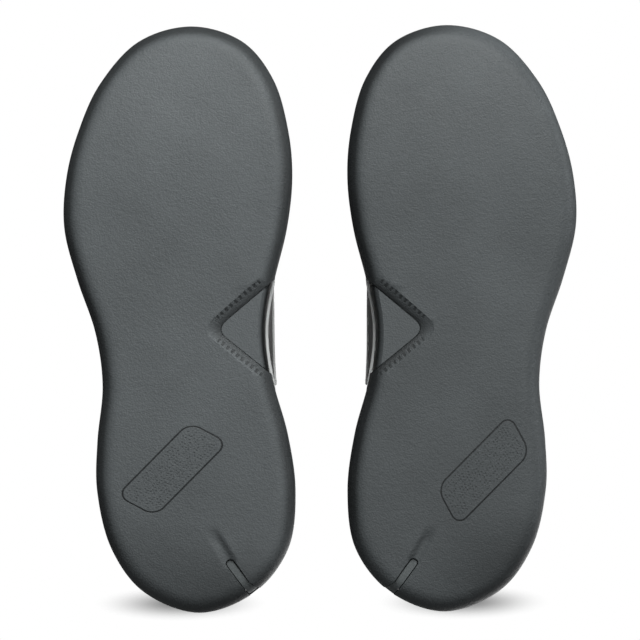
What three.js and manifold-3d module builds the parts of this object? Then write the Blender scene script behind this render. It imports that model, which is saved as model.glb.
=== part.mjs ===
// A pair of lace-up bowling shoes with smooth, one-piece rubber soles. Millimetres.
// +Z is up, the toes point along -Y, and the origin is on the floor midway between the two shoes.
// Each shoe is drawn once, medial side towards +X and origin under its middle, and the left one is its mirror.
import * as THREE from "three";
import { ConvexGeometry } from "three/addons/geometries/ConvexGeometry.js";
import { mergeVertices } from "three/addons/utils/BufferGeometryUtils.js";
import Module from "manifold-3d";

const wasm = await Module();
wasm.setup();

// ---- Driving dimensions ----
const soleLength = 300; // heel to toe over the rubber
const soleWidth = 116; // across the ball of the foot, over the rubber
const upperHeight = 110; // floor to the top corner of the eyestay
const pairSpacing = 131; // between the middles of the two shoes
const fitGap = 0.3; // left between pieces that are glued or sewn together

const treadThickness = 4.5;
const wallThickness = 2.5; // of the rubber cup's side wall
const edgeRoll = 9.5; // height and reach of the rounded lower edge
const toeSpring = 13;
const heelBevel = 5;
const heelBevelReach = 46;
const heelStack = 27; // tread to the top of the midsole
const forefootStack = 19;
const midsoleReveal = 5; // midsole that shows above the rubber wall
const upperInset = 7; // from the sole's outline in to the foot of the upper
const archInset = 3.2; // the same at the waist's medial side, where the upper bulges past the sole

const shellThickness = 1.6;
const overlayThickness = 1.2;
const stiffenerThickness = 1.0;
const liningThickness = 1.0;
const collarPadding = 5;
const boardThickness = 1.4;
const socklinerThickness = 3.6;
const pipingRadius = 1.1;

const throatFlapDrop = 0.8; // how far the eyestay's underside lies inside the shell's inner face
const eyeletCount = 6;
const eyeletRadius = 2.7;
const laceRadius = 1.5;
const laceLift = 1.3; // clear of the eyestay, whose face is faceted
const knotRadius = 2.6; // of the knots that stop the lace's two ends
const tongueCover = 1.2;
const tongueFoam = 3;
const tongueHalfWidth = 21;

const windowRecess = 2.4; // depth of the arch window's panel below the tread
const windowBevel = 4.6; // width of the sloped band round the panel
const slotHalfWidth = 2.2; // of the slot in the back of the heel

// ---- Outlines, as [medial, from heel, height] on a sole of 300 x 116 ----
const drawnLength = 300;
const drawnWidth = 116;
const drawnHeight = 110;
const lengthScale = soleLength / drawnLength;
const widthScale = soleWidth / drawnWidth;
const heightScale = upperHeight / drawnHeight;

// The rubber's edge: toe tip, down the medial side, heel, and back up the lateral side.
const soleRows = [
  [0, 300], [26, 292], [42, 272], [49.5, 246], [51.5, 221], [48.5, 195], [41, 167],
  [37, 143], [40.5, 118], [48.5, 91], [52.3, 62], [48.5, 33], [31, 10.5],
  [3, 0], [-25, 10.5], [-41.5, 33], [-48.5, 62], [-48.3, 88], [-45.5, 116],
  [-49, 143], [-58, 170], [-64.5, 196], [-63.5, 221], [-57.5, 245], [-46.5, 270], [-27, 292],
];
// The upper's wall is a sheet of Bezier curves: they leave its foot towards lowerRows, and
// come from upperRows into rimRows, the edge of the throat and the collar.
const lowerRows = [
  [0, 296, 52], [34, 281, 50], [46, 242, 46], [43.5, 199, 46], [44, 155, 52], [44, 114, 56],
  [48, 70, 50], [43, 26, 50], [2, 4, 52], [-38, 26, 50], [-44.5, 70, 50], [-41, 114, 54],
  [-48.5, 153, 50], [-60, 198, 44], [-57.5, 238, 44], [-38, 281, 49],
];
const upperRows = [
  [0, 262, 72], [20, 252, 70], [30, 215, 76], [32, 178, 88], [34, 148, 92], [36, 115, 90],
  [40, 78, 72], [33, 30, 68], [1, 12, 78], [-33, 30, 67], [-40, 78, 70], [-38, 115, 87],
  [-39, 148, 87], [-40, 178, 83], [-36, 213, 73], [-22, 250, 69],
];
const rimRows = [
  [0, 199, 79], [10, 195, 80.5], [14, 180, 86], [16, 160, 94], [18.5, 138, 102.5], [23, 114, 110],
  [35, 80, 93], [29, 35, 89], [1, 14, 104], [-29, 35, 87], [-37, 80, 88], [-25, 114, 107.5],
  [-20, 138, 101], [-17, 160, 93], [-14.5, 180, 85.5], [-10, 195, 80.2],
];
// The tongue's top line, as [from heel, height].
const tongueRows = [
  [198, 71], [180, 80.5], [160, 89.5], [138, 98], [115, 106], [98, 115.5], [87, 127],
];
const tongueArch = 0.022; // how fast the tongue falls away to its sides

const archShare = 7 / soleRows.length;
const vampSeam = 0.13; // share of the loop where the vamp meets the quarters
const throatFoot = 0.036; // where the eyestays start
const throatTop = 0.325; // where the eyestays meet the collar
const flapLine = 0.84; // height share where the shell stops under the eyestay
const eyeletLine = 0.92;
const tongueRoot = 0.86; // height share of the vamp's middle line where the tongue is sewn in

// ---- Curves ----
function at(medial, fromHeel, height = 0) {
  return new THREE.Vector3(medial, soleLength / 2 - fromHeel, height);
}
function loopThrough(rows) {
  const points = rows.map(([m, s, z = 0]) => at(m * widthScale, s * lengthScale, z * heightScale));
  const curve = new THREE.CatmullRomCurve3(points, true, "catmullrom", 0.5);
  return (share) => curve.getPoint(share - Math.floor(share));
}
const soleEdge = loopThrough(soleRows);
const lowerPull = loopThrough(lowerRows);
const upperPull = loopThrough(upperRows);
const rim = loopThrough(rimRows);

const smooth = (x) => THREE.MathUtils.smoothstep(x, 0, 1);
const fromHeel = (point) => soleLength / 2 - point.y;
const fromToe = (share) => Math.abs(share - Math.round(share)); // share of the loop away from the toe

// The line down the middle of the sole that every cross-section starts from.
function spine(share) {
  const middle = soleEdge(share).add(soleEdge(1 - share)).multiplyScalar(0.5);
  const s = THREE.MathUtils.clamp(fromHeel(middle), 0.15 * soleLength, 0.82 * soleLength);
  return at(-2 * widthScale, s);
}
// A point of the sole's plan, a distance in from its edge, or a share of the way to the spine.
function plan(share, inset, toSpine = 0) {
  const edge = soleEdge(share);
  const middle = spine(share);
  return edge.lerp(middle, toSpine || inset / edge.distanceTo(middle));
}
function toeLift(point) {
  return toeSpring * Math.max(0, (fromHeel(point) / soleLength - 0.69) / 0.31) ** 2;
}
// Height of the tread: flat on the floor, lifted at the toe and bevelled at the heel's outer corner.
function tread(point) {
  const corner = fromHeel(point) + 0.3 * point.x;
  return toeLift(point) + heelBevel * Math.max(0, 1 - corner / heelBevelReach) ** 2;
}
// Height of the midsole's top, which the upper stands on.
function seat(point) {
  const forward = smooth((fromHeel(point) / soleLength - 0.2) / 0.45);
  return toeLift(point) + THREE.MathUtils.lerp(heelStack, forefootStack, forward);
}
function upperFoot(share) {
  const near = (share - Math.floor(share) - archShare) / 0.075;
  return upperInset - (upperInset - archInset) * Math.exp(-(near ** 2));
}

// ---- Solids ----
// Joins the corners, drops faces that have shrunk to nothing and turns the rest out.
function closed(geometry) {
  const bare = new THREE.BufferGeometry();
  bare.setAttribute("position", geometry.getAttribute("position"));
  bare.setIndex(geometry.index);
  const merged = mergeVertices(bare, 1e-3);
  const position = merged.getAttribute("position");
  const index = merged.index ? Array.from(merged.index.array) : [...Array(position.count).keys()];
  const corner = (i) => new THREE.Vector3().fromBufferAttribute(position, i);
  const faces = [];
  let volume = 0;
  for (let i = 0; i < index.length; i += 3) {
    const [a, b, c] = index.slice(i, i + 3);
    if (a === b || b === c || c === a) continue;
    faces.push([a, b, c]);
    volume += corner(a).dot(corner(b).cross(corner(c)));
  }
  merged.setIndex(faces.flatMap(([a, b, c]) => (volume < 0 ? [a, c, b] : [a, b, c])));
  return merged;
}
function moved(geometry, place) {
  const position = geometry.getAttribute("position");
  for (let i = 0; i < position.count; i++) {
    const point = place(position.getX(i), position.getY(i), position.getZ(i), i);
    position.setXYZ(i, point.x, point.y, point.z);
  }
  return geometry;
}
// A sheet with an inner and an outer face over a grid of columns and rows, carried into
// place by place(column, row, outer). It closes on itself if it wraps.
function sheet(columns, rows, place, wraps = false) {
  const points = [0, 1].flatMap((outer) => columns.flatMap((column) => (
    rows.map((row) => place(column, row, outer)))));
  const faces = [];
  const id = (i, j, outer) => (outer * columns.length + i) * rows.length + j;
  const quad = (a, b, c, d) => faces.push(a, b, c, a, c, d);
  const lastColumn = columns.length - 1;
  const lastRow = rows.length - 1;
  for (let i = 0; i < lastColumn; i++) {
    for (let j = 0; j < lastRow; j++) {
      quad(id(i, j, 1), id(i + 1, j, 1), id(i + 1, j + 1, 1), id(i, j + 1, 1));
      quad(id(i, j, 0), id(i, j + 1, 0), id(i + 1, j + 1, 0), id(i + 1, j, 0));
    }
    quad(id(i, 0, 0), id(i + 1, 0, 0), id(i + 1, 0, 1), id(i, 0, 1));
    quad(id(i, lastRow, 0), id(i, lastRow, 1), id(i + 1, lastRow, 1), id(i + 1, lastRow, 0));
  }
  for (let j = 0; j < lastRow && !wraps; j++) {
    quad(id(0, j, 0), id(0, j, 1), id(0, j + 1, 1), id(0, j + 1, 0));
    quad(id(lastColumn, j, 0), id(lastColumn, j + 1, 0), id(lastColumn, j + 1, 1), id(lastColumn, j, 1));
  }
  const geometry = new THREE.BufferGeometry().setFromPoints(points);
  return closed(geometry.setIndex(faces));
}
function solid(geometry) {
  const vertProperties = Float32Array.from(geometry.getAttribute("position").array);
  const triVerts = Uint32Array.from(geometry.index.array);
  return new wasm.Manifold(new wasm.Mesh({ numProp: 3, vertProperties, triVerts }));
}
function geometryOf(manifold) {
  const mesh = manifold.getMesh();
  const geometry = new THREE.BufferGeometry();
  geometry.setAttribute("position", new THREE.Float32BufferAttribute(mesh.vertProperties, 3));
  return geometry.setIndex(Array.from(mesh.triVerts));
}

// ---- Sole unit ----
const soleSections = 40;
// A solid round the spine, from rows of { inset or toSpine, then over the tread or on the seat }.
function soleSolid(rows, sections = soleSections) {
  const profile = rows.map((row, j) => new THREE.Vector2(1, j));
  const lathe = new THREE.LatheGeometry(profile, sections);
  return solid(closed(moved(lathe, (x, y, z, i) => {
    const share = Math.floor(i / rows.length) / sections;
    const { inset = 0, toSpine = 0, over, on } = rows[i % rows.length];
    const point = plan(share, typeof inset === "function" ? inset(share) : inset, toSpine);
    return point.setZ(over === undefined ? seat(point) + on : tread(point) + over);
  })));
}
// The rounded lower edge, drawn a depth inside the rubber's skin.
function rolledEdge(depth) {
  return [0, 0.3, 0.62, 1].map((turn) => {
    const angle = (turn * Math.PI) / 2;
    const reach = edgeRoll - depth;
    return { inset: edgeRoll - reach * Math.sin(angle), over: edgeRoll - reach * Math.cos(angle) };
  });
}
const wallTop = -midsoleReveal;
const wholeCup = soleSolid([
  { toSpine: 1, over: 0 }, { toSpine: 0.5, over: 0 }, ...rolledEdge(0),
  { inset: 0.5, on: wallTop }, { inset: wallThickness, on: wallTop },
  { inset: wallThickness + 0.8, over: treadThickness + 3 }, { inset: edgeRoll - 1.5, over: treadThickness },
  { toSpine: 0.5, over: treadThickness }, { toSpine: 1, over: treadThickness },
]);

// The window in the arch: a wedge with a rounded apex, grown by a margin.
const windowApex = [12.2, 144.5];
const windowFore = [67, 190.7];
const windowRear = [67, 99.9];
function wedge(margin) {
  const corner = ([m, s], x, y) => new THREE.Vector2(m * widthScale + x, soleLength / 2 - s * lengthScale + y);
  const apex = corner(windowApex, -1.6 * margin, 0);
  const fore = corner(windowFore, 0, -1.96 * margin);
  const rear = corner(windowRear, 0, 1.65 * margin);
  const shape = new THREE.Shape();
  shape.moveTo(fore.x, fore.y);
  shape.lineTo(...apex.clone().lerp(fore, 0.09).toArray());
  shape.quadraticCurveTo(apex.x, apex.y, ...apex.clone().lerp(rear, 0.09).toArray());
  shape.lineTo(rear.x, rear.y);
  return shape;
}
const reachUp = 60; // past everything in the sole
function prism(shape, from = -5, to = reachUp) {
  const options = { depth: to - from, bevelEnabled: false, curveSegments: 3 };
  return solid(closed(new THREE.ExtrudeGeometry(shape, options).translate(0, 0, from)));
}
// The wedge flared outwards below the panel, which leaves the sloped band round it.
function flaredWedge() {
  const options = { depth: 3, steps: 3, bevelEnabled: false, curveSegments: 3 };
  const wide = new THREE.ExtrudeGeometry(wedge(windowBevel), options).getAttribute("position");
  const levels = [-1, 0, windowRecess, reachUp];
  return solid(closed(moved(new THREE.ExtrudeGeometry(wedge(0), options), (x, y, z, i) => {
    const level = Math.round(z);
    const flared = level < 2 ? [wide.getX(i), wide.getY(i)] : [x, y];
    return new THREE.Vector3(...flared, levels[level]);
  })));
}
// The slot at the back of the heel: round-ended, opening out towards the edge.
function heelSlot(margin) {
  const corner = (m, s) => new THREE.Vector2(m * widthScale, soleLength / 2 - s * lengthScale);
  const inner = corner(19.3, 26);
  const mouth = corner(31, 10);
  const run = mouth.clone().sub(inner).normalize();
  const side = new THREE.Vector2(-run.y, run.x);
  const half = slotHalfWidth + margin;
  const beside = (from, along, across) => (
    from.clone().addScaledVector(run, along).addScaledVector(side, across));
  const end = [0, 0.25, 0.5, 0.75, 1].map((turn) => beside(
    inner, -half * Math.sin(turn * Math.PI), half * Math.cos(turn * Math.PI)));
  return prism(new THREE.Shape([
    ...end, beside(mouth, -6, -half), beside(mouth, 14, -half - 5), beside(mouth, 14, half + 1.5),
  ]));
}

// The shank: a plate under the waist, with a foot that drops into the arch window and shows there.
const plateThickness = 1.6;
function shankPlate(grow) {
  const corner = (m, s) => [m * widthScale, soleLength / 2 - s * lengthScale];
  const shape = new THREE.Shape();
  shape.moveTo(...corner(-22 - grow, 104 - grow));
  shape.lineTo(...corner(24 + grow, 108 - grow));
  shape.quadraticCurveTo(...corner(28 + grow, 144), ...corner(26 + grow, 184 + grow));
  shape.lineTo(...corner(-30 - grow, 184 + grow));
  const low = treadThickness + fitGap - grow;
  const plate = prism(shape, low, low + plateThickness + 2 * grow);
  const foot = soleSolid([
    { toSpine: 1, over: windowRecess - grow },
    ...rolledEdge(0.9 - grow).map(({ inset, over }) => ({ inset, over: Math.max(over, windowRecess - grow) })),
    { inset: 1.2 - grow, on: wallTop - 1 + grow }, { inset: 2.7 + grow, on: wallTop - 1 + grow },
    { inset: 3.6 + grow, over: treadThickness + 3.6 + grow },
    { inset: edgeRoll - 1, over: treadThickness + fitGap + plateThickness + grow },
    { toSpine: 1, over: treadThickness + fitGap + plateThickness + grow },
  ]);
  return plate.add(foot.intersect(prism(wedge(grow - fitGap))));
}

const midsoleInset = wallThickness + fitGap + 0.2;
const lip = (share) => Math.max(1.6, upperFoot(share) - 3.4);
const midsoleBlock = soleSolid([
  { toSpine: 1, over: treadThickness + fitGap }, { toSpine: 0.5, over: treadThickness + fitGap },
  { inset: edgeRoll - 1, over: treadThickness + fitGap },
  { inset: midsoleInset + 0.9, over: treadThickness + 3 + fitGap }, { inset: midsoleInset, on: wallTop - 0.5 },
  { inset: midsoleInset, on: wallTop + fitGap }, { inset: lip, on: wallTop + fitGap + 0.6 },
  { inset: (share) => lip(share) + 0.4, on: 0 }, { inset: (share) => upperFoot(share) + 4, on: 0 },
  { toSpine: 0.5, on: 0 }, { toSpine: 1, on: 0 },
]);
const slotSkin = soleSolid([
  { toSpine: 1, over: 1.2 }, ...rolledEdge(1.2), { inset: 1.5, on: wallTop },
  { inset: midsoleInset + 1, on: wallTop }, { toSpine: 1, on: wallTop },
]);

// The gel cushion fills a round pocket in the top of the midsole's heel.
const cushionRadius = 22;
const cushionThickness = 7;
function heelCushion(grow, open = 0) {
  const centre = at(-widthScale, 0.19 * soleLength);
  const low = seat(centre) - 0.6 - cushionThickness - grow;
  const high = seat(centre) - 0.6 + open;
  const disc = new THREE.CylinderGeometry(cushionRadius + grow, cushionRadius + grow, high - low, 18);
  return solid(closed(disc.rotateX(Math.PI / 2).translate(centre.x, centre.y, (low + high) / 2)));
}
// A flat insole on the seat, from its edge's distance inside the shell.
function insole(inside, low, thickness, cup = 0) {
  const inset = (share) => upperFoot(share) + inside;
  return soleSolid([
    { toSpine: 1, on: low }, { toSpine: 0.5, on: low }, { inset, on: low },
    { inset, on: low + thickness + cup }, { inset: (share) => inset(share) + 6, on: low + thickness },
    { toSpine: 0.5, on: low + thickness }, { toSpine: 1, on: low + thickness },
  ], lattice);
}
// The bead that runs along the waist between the rubber and the upper.
function piping() {
  const stations = Array.from({ length: 13 }, (_, i) => archShare - 0.045 + (i / 12) * 0.09);
  const path = new THREE.CatmullRomCurve3(stations.map((share) => {
    const point = plan(share, 0.1);
    return point.setZ(seat(point) + wallTop + fitGap + pipingRadius);
  }));
  const circle = Array.from({ length: 6 }, (_, i) => (
    new THREE.Vector2(pipingRadius, 0).rotateAround(new THREE.Vector2(), (i * Math.PI) / 3)));
  const options = { steps: 16, extrudePath: path, bevelEnabled: false };
  return closed(new THREE.ExtrudeGeometry(new THREE.Shape(circle), options));
}

// ---- Upper ----
const footGap = 2 * fitGap; // under the upper's lower edges
const lattice = 32; // columns round the loop, shared by every layer so that they nest
const ladder = [0, 0.22, 0.48, 0.72, flapLine, eyeletLine, 1];
function wall(share, height) {
  const point = plan(share, upperFoot(share));
  const foot = point.setZ(seat(point) + footGap);
  return new THREE.CubicBezierCurve3(foot, lowerPull(share), upperPull(share), rim(share)).getPoint(height);
}
function wallNormal(share, height) {
  const step = 0.004;
  const along = wall(share + step, height).sub(wall(share - step, height));
  const up = wall(share, height + step).sub(wall(share, height - step));
  const normal = along.cross(up);
  if (height === 0) normal.z = 0; // every layer stands level on the midsole
  return normal.normalize();
}
const latticePoints = Array.from({ length: lattice }, (_, i) => ladder.map((height) => (
  { point: wall(i / lattice, height), normal: wallNormal(i / lattice, height) })));
// A point of the upper: share of the loop, share of the height, distance outside the shell's inner face.
function upper(share, height, out = 0) {
  const column = (share - Math.floor(share + 1e-9)) * lattice;
  const i = Math.floor(column + 1e-7);
  const j = Math.min(ladder.findLastIndex((rung) => rung <= height + 1e-7), ladder.length - 2);
  const across = column - i;
  const up = (height - ladder[j]) / (ladder[j + 1] - ladder[j]);
  const corner = (di, dj) => {
    const { point, normal } = latticePoints[(i + di) % lattice][j + dj];
    const placed = point.clone().addScaledVector(normal, out);
    return j + dj === 0 ? placed.setZ(seat(placed) + footGap) : placed;
  };
  const low = corner(0, 0).lerp(corner(1, 0), across);
  return low.lerp(corner(0, 1).lerp(corner(1, 1), across), up);
}
// The marks between two ends, with the ends.
function between(from, to, marks) {
  return [from, ...marks.filter((mark) => mark > from + 1e-3 && mark < to - 1e-3), to];
}
const columnMarks = Array.from({ length: 2 * lattice + 1 }, (_, i) => i / lattice - 1);
const flapMarks = [-throatFoot, -throatFoot + 0.004, throatFoot - 0.004, throatFoot,
  throatTop, throatTop + 0.004, 1 - throatTop - 0.004, 1 - throatTop];
const shellColumns = (from, to) => between(from, to, [...columnMarks, ...flapMarks].sort((a, b) => a - b));

// How high the shell and the lining reach: beside the throat they stop under the eyestay's flap.
function shellTop(share) {
  const away = fromToe(share);
  return away > throatFoot - 0.001 && away < throatTop + 0.001 ? flapLine : 1;
}
// A layer of the upper over some columns, each trimmed to its own bottom and top.
function layer(columns, inner, outer, { bottom = () => 0, top = () => 1, extra = [], wraps } = {}) {
  const rows = between(0, 1, [...ladder, ...extra].sort((a, b) => a - b));
  return sheet(columns, rows, (share, rung, outside) => {
    const height = THREE.MathUtils.clamp(rung, bottom(share), top(share));
    const depth = outside ? outer : inner;
    return upper(share, height, typeof depth === "function" ? depth(share, height, rung) : depth);
  }, wraps);
}
const seamGap = 0.0015; // share of the loop left open where two panels meet
const columns = (from, to) => between(from, to, columnMarks);

const overlayInner = shellThickness + fitGap;
const overlayOuter = overlayInner + overlayThickness;
const stiffenerInner = -fitGap - stiffenerThickness;
// The padding under the collar, as a share of its full thickness.
function padding(share, height) {
  const along = THREE.MathUtils.clamp((fromToe(share) * lattice - 10) / 2, 0, 1);
  const up = height < 0.72 ? 0 : height < flapLine ? (height - 0.72) / (flapLine - 0.72) : 1;
  const down = height > eyeletLine ? 1 - 0.8 * (height - eyeletLine) / (1 - eyeletLine) : 1;
  return along * Math.min(up, down);
}
const liningOuter = (share, height) => stiffenerInner - fitGap - collarPadding * padding(share, height);
const liningInner = (share, height) => liningOuter(share, height) - liningThickness;

const vamp = layer(shellColumns(-vampSeam, vampSeam), 0, shellThickness, { top: shellTop });
const quarterMedial = layer(shellColumns(vampSeam + seamGap, 0.5 - seamGap), 0, shellThickness, { top: shellTop });
const quarterLateral = layer(shellColumns(0.5 + seamGap, 1 - vampSeam - seamGap), 0, shellThickness, { top: shellTop });
const lining = layer(shellColumns(0, 1), liningInner, liningOuter, { top: shellTop, wraps: true });
const part = (from, to, inner, outer, low, high) => (
  layer(columns(from / lattice, to / lattice), inner, outer, { bottom: () => low, top: () => high }));
const collarPad = part(11, 21, (share, height) => liningOuter(share, height) + fitGap, -fitGap, 0.72, 1);
const toePuff = part(-3, 3, stiffenerInner, -fitGap, 0.01, 0.48);
const heelStiffener = part(13, 19, stiffenerInner, -fitGap, 0.01, 0.71);
const foamMedial = part(4, 12, stiffenerInner, -fitGap, 0.01, 0.71);
const foamLateral = part(20, 28, stiffenerInner, -fitGap, 0.01, 0.71);
const toeCap = part(-3, 3, overlayInner, overlayOuter, 0, 0.48);
const heelCounter = layer(columns(13 / lattice, 19 / lattice), overlayInner, overlayOuter,
  { top: (share) => 0.84 - 0.3 * ((0.5 - fromToe(share)) / 0.094) ** 2 });
const saddleMedial = part(6, 10, overlayInner, overlayOuter, 0.22, 0.72);
const saddleLateral = part(23, 27, overlayInner, overlayOuter, 0, 0.72);

// The eyestay: an overlay that thickens into the throat's flap past the shell's edge.
const eyestayLow = (share) => 0.8 - 0.06 * smooth((fromToe(share) - throatFoot) / 0.06);
function eyestay(side) {
  const from = side > 0 ? throatFoot : 1 - throatTop;
  const to = side > 0 ? throatTop : 1 - throatFoot;
  const step = 0.01;
  const rows = [0, 1, 2, 3, 4, 5];
  const heightOf = (share, row) => [
    eyestayLow(share), Math.max(eyestayLow(share) + 0.02, 0.8), flapLine + step, flapLine + step * 1.4, eyeletLine, 1,
  ][row];
  const body = solid(sheet(columns(from, to), rows, (share, row, outside) => {
    const inner = row > 2 ? -throatFlapDrop : overlayInner;
    return upper(share, heightOf(share, row), outside ? overlayOuter : inner);
  }));
  return eyelets(side).reduce((cut, { low, high }) => {
    const axis = high.clone().sub(low).normalize();
    const hole = new THREE.CylinderGeometry(eyeletRadius, eyeletRadius, 24, 8);
    hole.applyQuaternion(new THREE.Quaternion().setFromUnitVectors(new THREE.Vector3(0, 1, 0), axis));
    const middle = low.clone().lerp(high, 0.5);
    return cut.subtract(solid(closed(hole.translate(middle.x, middle.y, middle.z))));
  }, body);
}
// The lace's way through each eyelet, from under the flap to over it.
const laceUnder = -throatFlapDrop - fitGap - laceRadius;
const laceOver = overlayOuter + laceLift + laceRadius;
function eyelets(side) {
  return Array.from({ length: eyeletCount }, (_, i) => {
    const away = 0.062 + (i / (eyeletCount - 1)) * (0.285 - 0.062);
    const share = side > 0 ? away : 1 - away;
    return {
      low: upper(share, eyeletLine, laceUnder), high: upper(share, eyeletLine, laceOver),
      edgeLow: upper(share, 1.0, laceUnder), edgeHigh: upper(share, 1.0, laceOver),
    };
  });
}
// A cord of straight links, each the hull of a bead at either end.
function cord(points) {
  const bead = new THREE.OctahedronGeometry(laceRadius).getAttribute("position");
  const corners = Array.from({ length: bead.count }, (_, i) => new THREE.Vector3().fromBufferAttribute(bead, i));
  const links = points.slice(1).map((end, i) => new ConvexGeometry(
    [points[i], end].flatMap((point) => corners.map((corner) => corner.clone().add(point)))));
  return links.map((link) => solid(closed(link))).reduce((whole, link) => whole.add(link));
}
function lace() {
  const sides = [eyelets(1), eyelets(-1)];
  const [left, right] = sides;
  const strands = [cord([left[0].high, left[0].edgeHigh, right[0].edgeHigh, right[0].high])];
  for (let i = 0; i < eyeletCount; i++) {
    [[left, right], [right, left]].forEach(([from, to]) => {
      strands.push(cord([from[i].low, from[i].high]));
      if (i === eyeletCount - 1) return;
      strands.push(cord([from[i].low, from[i].edgeLow, to[i + 1].edgeHigh, to[i + 1].high]));
    });
  }
  sides.forEach((side) => {
    const { x, y, z } = side[eyeletCount - 1].high;
    const knot = new THREE.IcosahedronGeometry(knotRadius, 1).translate(x, y, z + knotRadius - laceRadius);
    strands.push(solid(closed(knot)));
  });
  return strands.reduce((whole, strand) => whole.add(strand));
}

// The tongue hangs from the vamp's underside and lies under the throat.
const rootPoint = upper(0, tongueRoot, liningInner(0, tongueRoot) - fitGap);
const tongueLine = new THREE.CatmullRomCurve3([
  rootPoint, ...tongueRows.map(([s, z]) => at(-1 * widthScale, s * lengthScale, z * heightScale)),
]);
function tongueLayer(from, thickness, narrower) {
  const stations = [-1, -0.62, -0.22, 0.22, 0.62, 1];
  const steps = Array.from({ length: 8 }, (_, i) => i / 7);
  return sheet(stations, steps, (side, step, outside) => {
    const point = tongueLine.getPoint(step);
    const half = (tongueHalfWidth * (0.72 + 0.28 * smooth(step * 1.6)) - narrower) * widthScale;
    const corner = 1 - 0.12 * side ** 2 * smooth((step - 0.8) / 0.2);
    point.x += side * half * corner;
    point.z -= tongueArch * (side * half) ** 2 + from + (outside ? 0 : thickness);
    return point;
  });
}
// The tab at the back of the collar: a folded strap that stands above it.
function pullTab() {
  const stem = [0.74, flapLine, eyeletLine, 1].map((height) => upper(0.5, height, overlayOuter + fitGap));
  const top = upper(0.5, 1, overlayOuter + fitGap);
  const rows = [...stem, top.clone().add(new THREE.Vector3(0, 1, 8)), top.clone().add(new THREE.Vector3(0, 0.6, 14))];
  return sheet([-1, 1], rows, (side, row, outside) => (
    row.clone().add(new THREE.Vector3(side * 8, outside ? 1.5 : 0.1, 0))));
}

const material = (color, roughness, metalness = 0) => (
  new THREE.MeshStandardMaterial({ color, roughness, metalness }));
const rubber = material(0x5a5f61, 0.62);
const greyFoam = material(0x7b8082, 0.8);
const blackLeather = material(0x17181a, 0.5);
const blackTrim = material(0x0f1012, 0.4);
const whiteLeather = material(0xe9e9e6, 0.45);
const blackFabric = material(0x202224, 0.9);
const foam = material(0xb9b5a8, 0.9);
const board = material(0x9c8b6b, 0.85);
const stiff = material(0xa9a59b, 0.6);
const gel = material(0x4f8fa0, 0.3);

const pieces = {
  outsole: [geometryOf(wholeCup.subtract(flaredWedge()).subtract(heelSlot(0))), rubber],
  shank_plate: [geometryOf(shankPlate(0)), greyFoam],
  midsole: [geometryOf(midsoleBlock.add(heelSlot(-0.5).intersect(slotSkin)).subtract(shankPlate(fitGap))
    .subtract(heelCushion(fitGap, 20))), greyFoam],
  heel_cushion: [geometryOf(heelCushion(0)), gel],
  lasting_board: [geometryOf(insole(3.6, fitGap, boardThickness)), board],
  sockliner: [geometryOf(insole(4.4, boardThickness + 2 * fitGap, socklinerThickness, 1)), blackFabric],
  vamp: [vamp, blackLeather],
  toe_cap: [toeCap, blackLeather],
  quarter_medial: [quarterMedial, blackLeather],
  quarter_lateral: [quarterLateral, blackLeather],
  eyestay_medial: [geometryOf(eyestay(1)), blackTrim],
  eyestay_lateral: [geometryOf(eyestay(-1)), blackTrim],
  saddle_medial: [saddleMedial, whiteLeather],
  saddle_lateral: [saddleLateral, whiteLeather],
  heel_counter: [heelCounter, blackTrim],
  heel_stiffener: [heelStiffener, stiff],
  toe_puff: [toePuff, stiff],
  side_foam_medial: [foamMedial, foam],
  side_foam_lateral: [foamLateral, foam],
  collar_pad: [collarPad, foam],
  lining: [lining, blackFabric],
  waist_piping: [piping(), whiteLeather],
  pull_tab: [pullTab(), blackFabric],
  tongue_cover: [tongueLayer(0, tongueCover, 0), blackLeather],
  tongue_padding: [tongueLayer(tongueCover + fitGap, tongueFoam, 1), foam],
  tongue_lining: [tongueLayer(tongueCover + tongueFoam + 2 * fitGap, liningThickness, 0), blackFabric],
  lace: [geometryOf(lace()), whiteLeather],
};

const group = new THREE.Group();
[["right", 1], ["left", -1]].forEach(([side, mirror]) => {
  const shoe = new THREE.Group();
  shoe.name = `${side}_shoe`;
  shoe.scale.x = mirror;
  shoe.position.x = (-mirror * pairSpacing) / 2;
  Object.entries(pieces).forEach(([name, [geometry, finish]]) => {
    const mesh = new THREE.Mesh(geometry, finish);
    mesh.name = `${side}_${name}`;
    shoe.add(mesh);
  });
  group.add(shoe);
});
export default group;
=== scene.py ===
import math
import bpy
import numpy as np
from mathutils import Matrix, Vector


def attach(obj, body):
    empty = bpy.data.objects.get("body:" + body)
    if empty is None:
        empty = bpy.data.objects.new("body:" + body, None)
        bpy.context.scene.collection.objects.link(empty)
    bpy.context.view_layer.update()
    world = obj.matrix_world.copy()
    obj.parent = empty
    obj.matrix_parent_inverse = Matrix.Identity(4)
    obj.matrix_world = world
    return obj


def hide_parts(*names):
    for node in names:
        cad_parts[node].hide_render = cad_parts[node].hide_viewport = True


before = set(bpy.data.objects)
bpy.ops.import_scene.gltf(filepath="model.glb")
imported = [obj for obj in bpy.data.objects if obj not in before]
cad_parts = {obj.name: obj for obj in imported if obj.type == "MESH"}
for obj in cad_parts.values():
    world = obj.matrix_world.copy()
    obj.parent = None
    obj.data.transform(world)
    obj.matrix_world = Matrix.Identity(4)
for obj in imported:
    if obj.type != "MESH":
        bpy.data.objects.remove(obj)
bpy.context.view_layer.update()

cameraSetup = {
    "lens": 150, "sensor": 36, "metresAcross": 0.3264,  # width of the frame
    "planeHeight": 0.014, "centre": (-0.0003, 0.001), "roll": 0.0055,
}
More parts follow.
